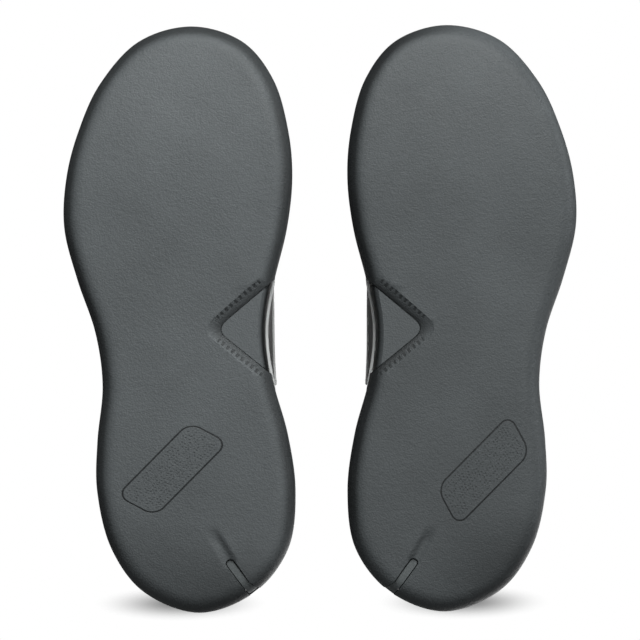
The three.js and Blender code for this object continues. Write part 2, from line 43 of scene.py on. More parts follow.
lights = {
    "key": {"place": (0.15, -1.0, -0.85), "size": 0.55, "power": 14, "tint": (0.97, 1.0, 1.0)},
    "fill": {"place": (0.25, 0.0, -1.7), "size": 0.8, "power": 6, "tint": (0.96, 1.0, 1.0)},
    "rim": {"place": (1.3, -0.5, -0.28), "size": 0.5, "power": 3},
    "top": {"place": (0.25, -0.35, 1.8), "size": 1.2, "power": 46, "gloss": False},  # stays out of the sole's edges
    "back": {"place": (0.8, 0.8, 1.3), "size": 1.2, "power": 10},
    "left": {"place": (-0.9, 0.7, 1.7), "size": 1.0, "power": 16, "gloss": False},
}


def makeCamera(setup):
    distance = setup["metresAcross"] * setup["lens"] / setup["sensor"]
    place = (*setup["centre"], setup["planeHeight"] - distance)
    bpy.ops.object.camera_add(location=place, rotation=(math.pi, 0, setup["roll"]))  # looks straight up
    camera = bpy.context.object
    camera.data.lens = setup["lens"]
    camera.data.sensor_width = setup["sensor"]
    camera.data.clip_end = 50
    bpy.context.scene.camera = camera


def makeLight(name, setup):
    bpy.ops.object.light_add(type="AREA", location=setup["place"])
    light = bpy.context.object
    light.name = name + "Light"
    light.rotation_euler = (-Vector(setup["place"])).to_track_quat("-Z", "Y").to_euler()
    light.data.size = setup["size"]
    light.data.energy = setup["power"]
    light.data.color = setup.get("tint", (1, 1, 1))
    light.visible_glossy = setup.get("gloss", True)


makeCamera(cameraSetup)
for name, setup in lights.items():
    makeLight(name, setup)
bpy.context.scene.view_settings.view_transform = "Standard"
print("studio lit")


class Wire:  # a socket that takes part in sums
    def __init__(self, finish, socket):
        self.finish, self.socket = finish, socket

    def maths(self, operation, *others):
        return self.finish.node("ShaderNodeMath", {"operation": operation}, dict(enumerate((self, *others))))

    def __add__(self, other): return self.maths("ADD", other)
    def __radd__(self, other): return self.maths("ADD", other)
    def __sub__(self, other): return self.maths("SUBTRACT", other)
    def __rsub__(self, other): return (self * -1) + other
    def __mul__(self, other): return self.maths("MULTIPLY", other)
    def __rmul__(self, other): return self.maths("MULTIPLY", other)
    def __truediv__(self, other): return self.maths("DIVIDE", other)
    def __rtruediv__(self, other): return self ** -1 * other
    def __pow__(self, other): return self.maths("POWER", other)
    def __rpow__(self, other): return self.finish.node("ShaderNodeMath", {"operation": "POWER"}, {0: other, 1: self})
    def __abs__(self): return self.maths("ABSOLUTE")
    def sine(self): return self.maths("SINE")
    def least(self, other): return self.maths("MINIMUM", other)
    def most(self, other): return self.maths("MAXIMUM", other)
    def fraction(self): return self.maths("FRACT")

    def rise(self, start, end):  # 0 before start, 1 after end, smooth between
        return self.finish.node("ShaderNodeMapRange", {"interpolation_type": "SMOOTHSTEP"},
                                {"Value": self, "From Min": start, "From Max": end})

    def part(self, name):  # another output of the same node
        return Wire(self.finish, self.socket.node.outputs[name])


class Finish:  # a material being put together
    def __init__(self, name):
        self.material = bpy.data.materials.new(name)
        self.material.use_nodes = True
        self.tree = self.material.node_tree
        self.shader = next(n for n in self.tree.nodes if n.type == "BSDF_PRINCIPLED")
        self.output = next(n for n in self.tree.nodes if n.type == "OUTPUT_MATERIAL")

    def node(self, kind, settings=None, inputs=None):
        node = self.tree.nodes.new(kind)
        for key, value in (settings or {}).items():
            if key == "stops":
                ramp = node.color_ramp
                while len(ramp.elements) < len(value):
                    ramp.elements.new(0.5)
                for element, (place, colour) in zip(ramp.elements, value):
                    element.position, element.color = place, (*colour, 1)
            else:
                setattr(node, key, value)
        for key, value in (inputs or {}).items():
            self.link(node.inputs[key], value)
        return Wire(self, next(output for output in node.outputs if output.enabled))

    def link(self, socket, value):
        if isinstance(value, Wire):
            self.tree.links.new(value.socket, socket)
        elif isinstance(value, tuple) and len(value) == 3 and socket.type == "RGBA":
            socket.default_value = (*value, 1)
        else:
            socket.default_value = value

    def place(self, attribute=None):  # metres on the object, or the piece's own map
        if attribute:
            return self.node("ShaderNodeUVMap", {"uv_map": attribute})
        return self.node("ShaderNodeTexCoord").part("Object")

    def split(self, vector):
        node = self.node("ShaderNodeSeparateXYZ", {}, {"Vector": vector})
        return [node.part(axis) for axis in "XYZ"]

    def join(self, x, y, z=0.0):
        return self.node("ShaderNodeCombineXYZ", {}, {"X": x, "Y": y, "Z": z})

    def noise(self, scale, detail=3, roughness=0.55, vector=None):
        return self.node("ShaderNodeTexNoise", {}, {
            "Vector": vector or self.place(), "Scale": scale, "Detail": detail, "Roughness": roughness})

    def cells(self, scale, vector=None, feature="F1", randomness=1.0):
        return self.node("ShaderNodeTexVoronoi", {"feature": feature}, {
            "Vector": vector or self.place(), "Scale": scale, "Randomness": randomness})

    def mix(self, factor, a, b):
        node = self.node("ShaderNodeMix", {"data_type": "RGBA"}, {0: factor})
        mixer = node.socket.node
        self.link(mixer.inputs[6], a)
        self.link(mixer.inputs[7], b)
        return Wire(self, mixer.outputs[2])

    def tinted(self, colour, shade):  # the colour, made lighter or darker by the shade
        return self.node("ShaderNodeVectorMath", {"operation": "SCALE"}, {0: self.join(*colour), "Scale": shade})

    def bump(self, height, distance, strength=1.0, under=None):
        inputs = {"Height": height, "Distance": distance, "Strength": strength}
        if under:
            inputs["Normal"] = under
        return self.node("ShaderNodeBump", {}, inputs)

    def done(self, colour, roughness, normal=None, **fixed):
        self.link(self.shader.inputs["Base Color"], colour)
        self.link(self.shader.inputs["Roughness"], roughness)
        if normal:
            self.link(self.shader.inputs["Normal"], normal)
        for key, value in fixed.items():
            self.shader.inputs[key].default_value = value
        return self.material


shape = {  # the right shoe in millimetres: medial, towards the heel, up
    "spacing": 131, "length": 300, "edgeRoll": 9.5, "toeSpring": 13, "springFrom": 0.69,
    "heelBevel": 5, "heelBevelReach": 46, "heelStack": 27, "forefootStack": 19,
    "upperInset": 7, "archInset": 3.2, "windowRecess": 2.4, "slotHalfWidth": 2.2,
    "windowApex": (12.2, 5.5), "windowFore": (67, -40.7), "windowRear": (67, 50.1),
    "slotInner": (19.3, 124.0), "slotMouth": (31.0, 140.0),
}
soleRows = [  # medial and from the heel, round the rubber from the toe
    (0, 300), (26, 292), (42, 272), (49.5, 246), (51.5, 221), (48.5, 195), (41.6, 167), (38.3, 143), (41.2, 118),
    (48.5, 91), (52.3, 62), (48.5, 33), (31, 10.5), (3, 0), (-25, 10.5), (-41.5, 33), (-48.5, 62),
    (-48.3, 88), (-45.5, 116), (-49, 143), (-58, 170), (-64.5, 196), (-63.5, 221), (-57.5, 245),
    (-46.5, 270), (-27, 292),
]
lowerRows = [  # the upper's wall leaves the sole towards these
    (0, 296, 52), (34, 281, 50), (46, 242, 46), (43.5, 199, 46), (44, 155, 52), (44, 114, 56),
    (48, 70, 50), (43, 26, 50), (2, 4, 52), (-38, 26, 50), (-44.5, 70, 50), (-41, 114, 54),
    (-48.5, 153, 50), (-60, 198, 44), (-57.5, 238, 44), (-38, 281, 49),
]
upperRows = [  # and comes from these into the rim
    (0, 262, 72), (20, 252, 70), (30, 215, 76), (32, 178, 88), (34, 148, 92), (36, 115, 90),
    (40, 78, 72), (33, 30, 68), (1, 12, 78), (-33, 30, 67), (-40, 78, 70), (-38, 115, 87),
    (-39, 148, 87), (-40, 178, 83), (-36, 213, 73), (-22, 250, 69),
]
rimRows = [
    (0, 199, 79), (10, 195, 80.5), (14, 180, 86), (16, 160, 94), (18.5, 138, 102.5), (23, 114, 110),
    (35, 80, 93), (29, 35, 89), (1, 14, 104), (-29, 35, 87), (-37, 80, 88), (-25, 114, 107.5),
    (-20, 138, 101), (-17, 160, 93), (-14.5, 180, 85.5), (-10, 195, 80.2),
]
archShare = 7 / len(soleRows)


def loopThrough(rows):
    points = np.array([[row[0], shape["length"] / 2 - row[1], row[2] if len(row) > 2 else 0] for row in rows], float)
    count = len(points)

    def along(shares):
        place = (np.asarray(shares, float) % 1.0) * count
        first = np.floor(place).astype(int)
        w = (place - first)[..., None]
        p0, p1, p2, p3 = (points[(first + k) % count] for k in (-1, 0, 1, 2))
        leaving, arriving = (p2 - p0) / 2, (p3 - p1) / 2
        return ((2 * p1 - 2 * p2 + leaving + arriving) * w ** 3
                + (3 * p2 - 3 * p1 - 2 * leaving - arriving) * w ** 2 + leaving * w + p1)
    return along


soleEdge, lowerPull, upperPull, rim = (loopThrough(rows) for rows in (soleRows, lowerRows, upperRows, rimRows))


def eased(x):
    x = np.clip(x, 0, 1)
    return x * x * (3 - 2 * x)


def fromHeel(points):
    return shape["length"] / 2 - points[..., 1]


def plan(shares, inset=0.0, toSpine=0.0):  # the outline, moved in towards a line down the sole's middle
    edge = soleEdge(shares)
    middle = (edge + soleEdge(1 - np.asarray(shares))) / 2
    s = np.clip(fromHeel(middle), 45, 246)
    middle = np.stack([np.full_like(s, -2), 150 - s, np.zeros_like(s)], -1)
    distance = np.linalg.norm(edge - middle, axis=-1)
    share = np.asarray(toSpine if toSpine else inset / distance)
    return edge + (middle - edge) * share[..., None]


def toeLift(points):
    ahead = (fromHeel(points) / shape["length"] - shape["springFrom"]) / (1 - shape["springFrom"])
    return shape["toeSpring"] * np.clip(ahead, 0, None) ** 2


def tread(points):  # height of the tread
    corner = fromHeel(points) + 0.3 * points[..., 0]
    return toeLift(points) + shape["heelBevel"] * np.clip(1 - corner / shape["heelBevelReach"], 0, None) ** 2


def seat(points):  # height of the midsole's top
    forward = eased((fromHeel(points) / shape["length"] - 0.2) / 0.45)
    return toeLift(points) + shape["heelStack"] + (shape["forefootStack"] - shape["heelStack"]) * forward


def upperFoot(shares):
    near = (np.asarray(shares) % 1.0 - archShare) / 0.075
    return shape["upperInset"] - (shape["upperInset"] - shape["archInset"]) * np.exp(-near ** 2)


def wallPoints(shares, heights):
    foot = plan(shares, upperFoot(shares))
    foot[..., 2] = seat(foot) + 0.6
    h = heights[..., None]
    lower, upper, top = lowerPull(shares), upperPull(shares), rim(shares)
    return (foot * (1 - h) ** 3 + lower * 3 * h * (1 - h) ** 2 + upper * 3 * h ** 2 * (1 - h) + top * h ** 3)


def wall(shares, heights, out=0.0):  # points on the upper, that far out, and their normals
    shares, heights = np.broadcast_arrays(np.asarray(shares, float), np.asarray(heights, float))
    step = 0.004
    along = wallPoints(shares + step, heights) - wallPoints(shares - step, heights)
    up = wallPoints(shares, heights + step) - wallPoints(shares, heights - step)
    normal = np.cross(along, up)
    level = eased(heights / 0.05)[..., None]
    normal[..., 2:] *= level
    normal /= np.linalg.norm(normal, axis=-1, keepdims=True)
    points = wallPoints(shares, heights) + normal * np.asarray(out)[..., None]
    foot = seat(points) + 0.6
    points[..., 2] = np.where(heights <= 0.03, foot + (points[..., 2] - foot) * heights / 0.03, points[..., 2])
    return points, normal


rightPieces = []  # object, body, CAD nodes it stands for, slot, look


def deselect():
    if bpy.context.object and bpy.context.object.mode != "OBJECT":
        bpy.ops.object.mode_set(mode="OBJECT")
    bpy.ops.object.select_all(action="DESELECT")


def tidyMesh(piece, angle=40):
    deselect()
    piece.select_set(True)
    bpy.context.view_layer.objects.active = piece
    bpy.ops.object.mode_set(mode="EDIT")
    bpy.ops.mesh.select_all(action="SELECT")
    bpy.ops.mesh.remove_doubles(threshold=2e-6)
    bpy.ops.mesh.dissolve_degenerate(threshold=1e-7)
    bpy.ops.mesh.normals_make_consistent(inside=False)
    bpy.ops.object.mode_set(mode="OBJECT")
    bpy.ops.object.shade_smooth_by_angle(angle=math.radians(angle))


def gridPiece(name, points, angle=40, uv=None):  # a grid primitive shaped to rows of points
    columns, rows = points.shape[:2]
    deselect()
    bpy.ops.mesh.primitive_grid_add(x_subdivisions=columns - 1, y_subdivisions=rows - 1, size=2)
    piece = bpy.context.object
    piece.name = piece.data.name = name
    flat = np.zeros(len(piece.data.vertices) * 3)
    piece.data.vertices.foreach_get("co", flat)
    flat = flat.reshape(-1, 3)
    i = np.rint((flat[:, 0] + 1) / 2 * (columns - 1)).astype(int)
    j = np.rint((flat[:, 1] + 1) / 2 * (rows - 1)).astype(int)
    placed = points[i, j] * 0.001
    placed[:, 0] -= shape["spacing"] / 2000
    if uv is not None:
        layer = piece.data.uv_layers.active
        layer.name = "cloth"
        corners = np.zeros(len(piece.data.loops), int)
        piece.data.loops.foreach_get("vertex_index", corners)
        layer.data.foreach_set("uv", uv[i[corners], j[corners]].ravel())
    piece.data.vertices.foreach_set("co", placed.ravel())
    piece.data.update()
    tidyMesh(piece, angle)
    return piece


def ringPiece(name, rows, sections=260, angle=40):  # rings round the outline, from the bottom up
    shares = np.linspace(0, 1, sections + 1)
    levels = []
    for row in rows:
        inset = row.get("inset", 0.0)
        points = plan(shares, inset(shares) if callable(inset) else inset, row.get("toSpine", 0.0))
        points[:, 2] = seat(points) + row["on"] if "on" in row else tread(points) + row["over"]
        levels.append(points)
    return gridPiece(name, np.stack(levels, 1), angle)


def rolledEdge(depth, steps=9):  # rings of the rounded lower edge, that deep in the rubber
    reach = shape["edgeRoll"] - depth
    turns = np.linspace(0, math.pi / 2, steps)
    return [{"inset": shape["edgeRoll"] - reach * math.sin(turn), "over": shape["edgeRoll"] - reach * math.cos(turn)}
            for turn in turns]


wallRound, wallHeight = 700, 95  # the upper's rough size, for its cloth


def layerPiece(name, fromShare, toShare, inner, outer, low=0.0, high=1.0, columns=60, rows=26, rounding=0.8,
               closed=False, angle=50):  # a sheet on the upper with rounded edges
    turns = np.linspace(0, math.pi / 2, 5)
    ends, swell = rounding * (1 - np.cos(turns)), np.sin(turns)
    if closed:
        shares = np.linspace(fromShare, toShare, columns + 1)
        columnSwell = np.ones(columns + 1)
    else:
        middle = (fromShare + toShare) / 2
        across = np.linalg.norm(np.diff(wall(np.linspace(fromShare, toShare, 30), 0.5)[0], axis=0), axis=1).sum()
        edge = ends / across * (toShare - fromShare)
        inside = np.linspace(fromShare + edge[-1], toShare - edge[-1], columns)
        shares = np.concatenate([fromShare + edge[:-1], inside, (toShare - edge[:-1])[::-1]])
        columnSwell = np.concatenate([swell[:-1], np.ones(columns), swell[:-1][::-1]])
    lowest = np.broadcast_to(low(shares) if callable(low) else low, shares.shape)
    highest = np.broadcast_to(high(shares) if callable(high) else high, shares.shape)
    span = np.maximum(highest - lowest, 1e-4)
    edge = ends[None, :] / wallHeight
    edge = np.minimum(edge, span[:, None] * 0.45 * (ends / max(ends[-1], 1e-6))[None, :])
    t = np.linspace(0, 1, rows)[None, :]
    inside = (lowest[:, None] + edge[:, -1:]) * (1 - t) + (highest[:, None] - edge[:, -1:]) * t
    heights = np.concatenate(
        [lowest[:, None] + edge[:, :-1], inside, (highest[:, None] - edge[:, :-1])[:, ::-1]], 1)
    rowSwell = np.concatenate([swell[:-1], np.ones(rows), swell[:-1][::-1]])
    grid = np.broadcast_to(shares[:, None], heights.shape)
    depthIn = inner(grid, heights) if callable(inner) else np.full(heights.shape, float(inner))
    depthOut = outer(grid, heights) if callable(outer) else np.full(heights.shape, float(outer))
    middle, half = (depthIn + depthOut) / 2, (depthOut - depthIn) / 2
    half = half * rowSwell[None, :] * columnSwell[:, None]
    outside, _ = wall(grid, heights, middle + half)
    inward, _ = wall(grid, heights, middle - half)
    points = np.concatenate([outside, inward[:, ::-1]], 1)
    u, v = grid * wallRound, heights * wallHeight
    uv = np.stack([np.concatenate([u, u[:, ::-1]], 1), np.concatenate([v, v[:, ::-1]], 1)], -1) * 0.001
    return gridPiece(name, points, angle, uv)


def applyModifier(piece, kind, **settings):
    deselect()
    piece.select_set(True)
    bpy.context.view_layer.objects.active = piece
    modifier = piece.modifiers.new(kind.title(), kind)
    for key, value in settings.items():
        setattr(modifier, key, value)
    bpy.ops.object.modifier_apply(modifier=modifier.name)


def combine(piece, tool, operation="DIFFERENCE"):
    applyModifier(piece, "BOOLEAN", object=tool, operation=operation, solver="EXACT")
    bpy.data.objects.remove(tool)


def keep(piece, slot, look, *nodes, body="shoe"):
    rightPieces.append((piece, body, nodes, slot, look))
    return piece


def prismPiece(name, outlines, levels):  # a tool or plug with one outline at each level
    rows = [np.array([*outline, outline[0]], float) for outline in outlines]
    rows = [rows[0].mean(0, keepdims=True).repeat(len(rows[0]), 0), *rows,
            rows[-1].mean(0, keepdims=True).repeat(len(rows[0]), 0)]
    levels = [levels[0], *levels, levels[-1]]
    points = np.stack([np.concatenate([row, np.full((len(row), 1), float(level))], 1)
                       for row, level in zip(rows, levels)], 1)
    return gridPiece(name, points)


def wedgeOutline(margin):  # the arch window
    apex = np.add(shape["windowApex"], (-1.6 * margin, 0))
    fore = np.add(shape["windowFore"], (0, -1.96 * margin))
    rear = np.add(shape["windowRear"], (0, 1.65 * margin))
    start, end = apex + (fore - apex) * 0.1, apex + (rear - apex) * 0.1
    bend = [(1 - t) ** 2 * start + 2 * t * (1 - t) * apex + t * t * end for t in np.linspace(0, 1, 9)]
    foreEdge = [fore + (start - fore) * t for t in np.linspace(0, 1, 8)[:-1]]
    rearEdge = [end + (rear - end) * t for t in np.linspace(0, 1, 8)[1:]]
    return [*foreEdge, *bend, *rearEdge]


def slotOutline(margin):  # rounded inside and open at the edge
    inner, mouth = np.array(shape["slotInner"]), np.array(shape["slotMouth"])
    run = (mouth - inner) / np.linalg.norm(mouth - inner)
    side = np.array([-run[1], run[0]])
    half = shape["slotHalfWidth"] + margin
    end = [inner - run * half * math.sin(turn) + side * half * math.cos(turn) for turn in np.linspace(0, math.pi, 11)]
    return [*end, mouth + run * 14.3 - side * half, mouth + run * 14 + side * half]


def flareOutline(margin):  # the slot's mouth widens on its medial side
    mouth, run, side = np.array(shape["slotMouth"]), np.array([0.5903, 0.8072]), np.array([-0.8072, 0.5903])
    steps = ((-10, 1.2), (-4, 2.9), (3, 5.6), (15, 11), (15.2, -0.5), (-9, -0.5))
    return [mouth + run * t - side * (across + margin) for t, across in steps]


def tubeAlong(name, path, normals, halfWidth, halfHeight, sides=12):  # an oval cord, flat along its normals
    path = np.asarray(path, float)
    tangent = np.gradient(path, axis=0)
    tangent /= np.linalg.norm(tangent, axis=1, keepdims=True)
    side = np.cross(tangent, normals)
    side /= np.linalg.norm(side, axis=1, keepdims=True)
    lift = np.cross(side, tangent)
    turns = np.linspace(0, 2 * math.pi, sides + 1)
    ring = (side[:, None] * np.cos(turns)[None, :, None] * np.reshape(halfWidth * np.ones(len(path)), (-1, 1, 1))
            + lift[:, None] * np.sin(turns)[None, :, None] * np.reshape(halfHeight * np.ones(len(path)), (-1, 1, 1)))
    points = path[:, None] + ring
    capStart, capEnd = (np.repeat(path[k:k + 1, None], sides + 1, 1) for k in (0, -1))
    points = np.concatenate([capStart, points, capEnd], 0)
    run = np.concatenate([[0], np.cumsum(np.linalg.norm(np.diff(path, axis=0), axis=1))])
    run = np.concatenate([[0], run, [run[-1]]])
    uv = np.stack(np.broadcast_arrays(run[:, None] * 0.001, turns[None, :] / (2 * math.pi)), -1)
    return gridPiece(name, points, 60, uv)


def resample(path, spacing):
    length = np.concatenate([[0], np.cumsum(np.linalg.norm(np.diff(path, axis=0), axis=1))])
    count = max(2, int(length[-1] / spacing))
    places = np.linspace(0, length[-1], count + 1)
    return np.stack([np.interp(places, length, path[:, k]) for k in range(3)], 1)


def smoothPath(points, steps=10):
    points = np.asarray(points, float)
    padded = np.concatenate([2 * points[:1] - points[1:2], points, 2 * points[-1:] - points[-2:-1]])
    out = []
    for k in range(1, len(padded) - 2):
        p0, p1, p2, p3 = padded[k - 1:k + 3]
        for w in np.linspace(0, 1, steps, endpoint=False):
            out.append(0.5 * (2 * p1 + (p2 - p0) * w + (2 * p0 - 5 * p1 + 4 * p2 - p3) * w ** 2
                              + (3 * p1 - p0 - 3 * p2 + p3) * w ** 3))
    return np.array([*out, points[-1]])


stitch = {"spacing": 2.9, "length": 2.1, "radius": 0.32}


def stitchRow(name, shares, heights, depth):  # every stitch is a copy of one small bead
    points, normals = wall(shares, heights, depth)
    spacing, length, radius = stitch.values()
    run = np.concatenate([[0], np.cumsum(np.linalg.norm(np.diff(points, axis=0), axis=1))])
    places = np.arange(spacing / 2, run[-1], spacing)
    read = lambda where, rows: np.stack([np.interp(where, run, rows[:, k]) for k in range(3)], 1)
    centre, up = read(places, points), read(places, normals)
    ahead, behind = read(places + 0.5, points), read(places - 0.5, points)
    along = (ahead - behind) / np.linalg.norm(ahead - behind, axis=1, keepdims=True)
    up -= along * (up * along).sum(1, keepdims=True)
    up /= np.linalg.norm(up, axis=1, keepdims=True)
    side = np.cross(up, along)
    deselect()
    bpy.ops.mesh.primitive_uv_sphere_add(segments=6, ring_count=5, radius=1)
    bead = bpy.context.object
    template = np.array([vertex.co[:] for vertex in bead.data.vertices])
    faces = [list(polygon.vertices) for polygon in bead.data.polygons]
    bpy.data.objects.remove(bead)
    sag = 0.25 * radius * (template[:, 2] ** 2)
    local = np.stack([template[:, 2] * length / 2, template[:, 0] * radius, template[:, 1] * radius - sag], 1)
    placed = (centre[:, None] + local[None, :, :1] * along[:, None] + local[None, :, 1:2] * side[:, None]
              + local[None, :, 2:] * up[:, None]).reshape(-1, 3) * 0.001
    placed[:, 0] -= shape["spacing"] / 2000
    allFaces = [[index + k * len(template) for index in face] for k in range(len(places)) for face in faces]
    mesh = bpy.data.meshes.new(name)
    mesh.from_pydata(placed.tolist(), [], allFaces)
    piece = bpy.data.objects.new(name, mesh)
    bpy.context.scene.collection.objects.link(piece)
    tidyMesh(piece, 60)
    return piece


def localPlace(finish, side):  # millimetres from the shoe's own middle, medial first
    x, y, z = finish.split(finish.place())
    half = shape["spacing"] / 2
    medial = x * 1000 + half if side == "right" else half - x * 1000
    return medial, y * 1000, z * 1000


def lineFrame(m, y, start, end):  # along and across a line, in millimetres
    run = math.hypot(end[0] - start[0], end[1] - start[1])
    u, v = (end[0] - start[0]) / run, (end[1] - start[1]) / run
    along = (m - start[0]) * u + (y - start[1]) * v
    across = (y - start[1]) * u - (m - start[0]) * v
    return along, across, run


soleLook = {
    # the left shoe's tone is a darker copy of the right's: painted shade across the pair
    "right": (0.124, 0.134, 0.139), "left": (0.094, 0.102, 0.106), "cloud": 0.6, "ink": (0.018, 0.02, 0.021),
    "grain": 1100, "grainDepth": 0.00034, "wrinkle": 330, "gloss": 0.42,
    "heelShade": {"right": (0.15, 0.45), "left": (0.4, -0.2)}, "heelRise": (10, 52),  # lateral and medial; painted shade at the heel's corner, painted light where below zero
    # painted shade round the rolled rim, lateral and medial; painted light where below zero
    "rimShade": {"right": (0.6, 0.5), "left": (-0.25, 0.72)}, "rimRise": (0.05, 2.4),
    "crease": ((12.0, 110.8), (19.6, 124)), "creaseDepth": 0.0016,
    "emblem": {"right": ((-9.8, 76), (1, -1)), "left": ((-16.4, 77.5), (-1, -1))},  # middle and direction
    "emblemHalf": (26, 10.5), "emblemCorner": 6, "emblemLean": 0.3,
    "tickEvery": 3.1, "tickRun": (4, 33.5), "tickBand": {"windowFore": (-1, 2.6, 5.2), "windowRear": (1, 1.9, 4.3)},
}


def soleShade(finish, side, m, y, z):  # cloudy rubber, with painted shade darker towards the heel's corner and round the rim, and painted light where a side's value is below zero
    look = soleLook
    cloud, patch, speck = finish.noise(16, 3, 0.6), finish.noise(70, 4, 0.6), finish.noise(750, 2, 0.6)
    shade = 1 - look["cloud"] / 2 + cloud * look["cloud"] + (patch - 0.5) * 0.16 + (speck - 0.5) * 0.36
    corner, sideways = (150 - y) + m * 0.3, m.rise(-35, 35)
    # painted shade at the heel's corner, blended from lateral to medial
    lateral, medial = look["heelShade"][side]
    shade = shade * (1 - (1 - corner.rise(*look["heelRise"])) * (sideways * (medial - lateral) + lateral))
    # painted shade round the rolled rim above the tread, weaker at the heel end
    lateral, medial = look["rimShade"][side]
    toe = ((-57 - y).most(0) / 93) ** 2 * shape["toeSpring"]
    lift = toe + (1 - corner / shape["heelBevelReach"]).most(0) ** 2 * shape["heelBevel"]
    rim = (z - lift).rise(*look["rimRise"]) * (1 - y.rise(95, 135) * 0.8)
    return shade * (1 - rim * (sideways * (medial - lateral) + lateral)), patch


def emblemMarks(finish, side, m, y):  # a plain dotted lozenge: its line, its dots and its inside
    (start, tilt), corner = soleLook["emblem"][side], soleLook["emblemCorner"]
    along, across, _ = lineFrame(m, y, start, (start[0] + tilt[0], start[1] + tilt[1]))
    halfLong, halfWide = soleLook["emblemHalf"]
    skewed = along - across * soleLook["emblemLean"]
    dx, dy = abs(skewed) - (halfLong - corner), abs(across) - (halfWide - corner)
    outside = (dx.most(0) * dx.most(0) + dy.most(0) * dy.most(0)) ** 0.5
    edge = outside + dx.most(dy).least(0) - corner
    dots = finish.cells(0.62, vector=finish.join(skewed, across), randomness=0.35)
    dot = (1 - dots.rise(0.2, 0.36)) * (1 - edge.rise(-1.9, -1.3))
    return 1 - abs(edge).rise(0.2, 0.55), dot, 1 - edge.rise(-0.3, 0.2)


def bandTicks(finish, m, y, z):  # plain ticks of uneven width along the window's sloped band
    marks = []
    for arm, (way, near, far) in soleLook["tickBand"].items():
        t, d, _ = lineFrame(m, y, shape["windowApex"], shape[arm])
        off, step, (first, last) = d * way, t / soleLook["tickEvery"], soleLook["tickRun"]
        width = (finish.noise(0.9, 1, vector=finish.join(step, 0.0)) - 0.5) * 0.5 + 0.36
        mark = 1 - abs(step.fraction() - 0.5).rise(width * 0.5, width * 0.5 + 0.12)
        mark = mark * off.rise(near, near + 0.4) * (1 - off.rise(far - 0.4, far))
        mark = mark * t.rise(first, first + 1) * (1 - t.rise(last - 1, last))
        marks.append(mark * (1 - z.rise(2.6, 3.2)) * z.rise(0.05, 0.2))
    return marks[0].most(marks[1])


def rubberSole(side):
    look, finish = soleLook, Finish("soleRubber_" + side)
    m, y, z = localPlace(finish, side)
    shade, patch = soleShade(finish, side, m, y, z)
    line, dot, inside = emblemMarks(finish, side, m, y)
    dark = line.most(dot * 0.45).most(bandTicks(finish, m, y, z) * 0.72) * (1 - z.rise(6, 9))
    # the tinted tone carries the painted shade; the ink marks are print
    colour = finish.mix(dark, finish.tinted(look[side], shade), look["ink"])
    t, d, run = lineFrame(m, y, *look["crease"])
    channel = (1 - abs(d).rise(0.2, 4.2)) * t.rise(-7, 3) * (1 - t.rise(run - 1, run + 2))
    lobe = d.rise(-9, -3.5) * (1 - d.rise(-3.2, -1.2)) * t.rise(-3, 5)
    grain, fine = finish.cells(look["grain"]), finish.noise(2600, 2, 0.7)
    wrinkle = finish.noise(look["wrinkle"], 4, 0.65)
    normal = finish.bump(channel * -1 + lobe * 0.12, look["creaseDepth"], 0.8)
    normal = finish.bump(wrinkle * 0.9 + grain * 0.5 + fine * 0.4, look["grainDepth"], 0.75, normal)
    normal = finish.bump(inside * 0.3 - dark, 0.00022, 0.8, normal)
    rough = 0.5 + (patch - 0.5) * 0.16 + grain * 0.05
    return finish.done(colour, rough, normal, **{"Specular IOR Level": look["gloss"]})


def leather(name, colour, rough=0.42, grain=520, depth=0.00013, wear=0.2, coat=0.12):
    finish = Finish(name)
    pebble = finish.cells(grain, feature="SMOOTH_F1")
    cracks = finish.cells(grain, feature="DISTANCE_TO_EDGE")
    soft = finish.noise(40, 4, 0.6)
    fine = finish.noise(2200, 2)
    shade = 1 + (soft - 0.5) * wear - (1 - cracks.rise(0.0, 0.12)) * 0.12
    normal = finish.bump(cracks.rise(0, 0.3) * 0.8 - pebble * 0.4 + fine * 0.15, depth, 0.8)
    normal = finish.bump(soft, 0.0009, 0.25, normal)
    return finish.done(finish.tinted(colour, shade), rough + (soft - 0.5) * 0.2 - cracks * 0.08, normal,
                       **{"Coat Weight": coat, "Coat Roughness": 0.35, "Specular IOR Level": 0.5})


def clothFinish(name, colour, pitch=0.0011, depth=0.0003, lift=0.5, rough=0.85):  # woven on the piece's own map
    finish = Finish(name)
    u, v, _ = finish.split(finish.place("cloth"))
    turn = 2 * math.pi / pitch
    warp, weft = (u * turn).sine(), (v * turn).sine()
    over = (warp * weft).rise(-0.3, 0.3)
    threads = abs((u * turn / 2).sine()) * over + abs((v * turn / 2).sine()) * (1 - over)
    fuzz = finish.noise(1800, 3, 0.7)
    tone = finish.noise(55, 3)
    shade = 0.62 + threads * lift + (fuzz - 0.5) * 0.3 + (tone - 0.5) * 0.18
    normal = finish.bump(threads + fuzz * 0.35, depth, 0.8)
    return finish.done(finish.tinted(colour, shade), rough + (tone - 0.5) * 0.1, normal,
                       **{"Sheen Weight": 0.25, "Sheen Roughness": 0.45, "Specular IOR Level": 0.25})


def foamFinish(name, colour, pore=900, depth=0.0004, rough=0.85):
    finish = Finish(name)
    pores = finish.cells(pore)
    tone = finish.noise(60, 3)
    shade = 0.7 + pores * 0.5 + (tone - 0.5) * 0.2
    return finish.done(finish.tinted(colour, shade), rough + (tone - 0.5) * 0.1, finish.bump(pores, depth, 0.6))


def threadFinish(name, colour):
    finish = Finish(name)
    twist, tone = finish.noise(3000, 3, 0.7), finish.noise(90, 2)
    tint = finish.tinted(colour, 0.75 + twist * 0.35 + tone * 0.15)
    return finish.done(tint, 0.7 + (tone - 0.5) * 0.1, finish.bump(twist, 0.00015, 0.6), **{"Sheen Weight": 0.2})


def moulded(name, colour, rough=0.35, metallic=0.0):
    finish = Finish(name)
    tone, scratch = finish.noise(90, 4), finish.noise(900, 3)
    normal = finish.bump(scratch * 0.5 + tone, 0.00008, 0.5)
    return finish.done(finish.tinted(colour, 0.92 + tone * 0.16), rough + (tone - 0.5) * 0.15, normal, Metallic=metallic)


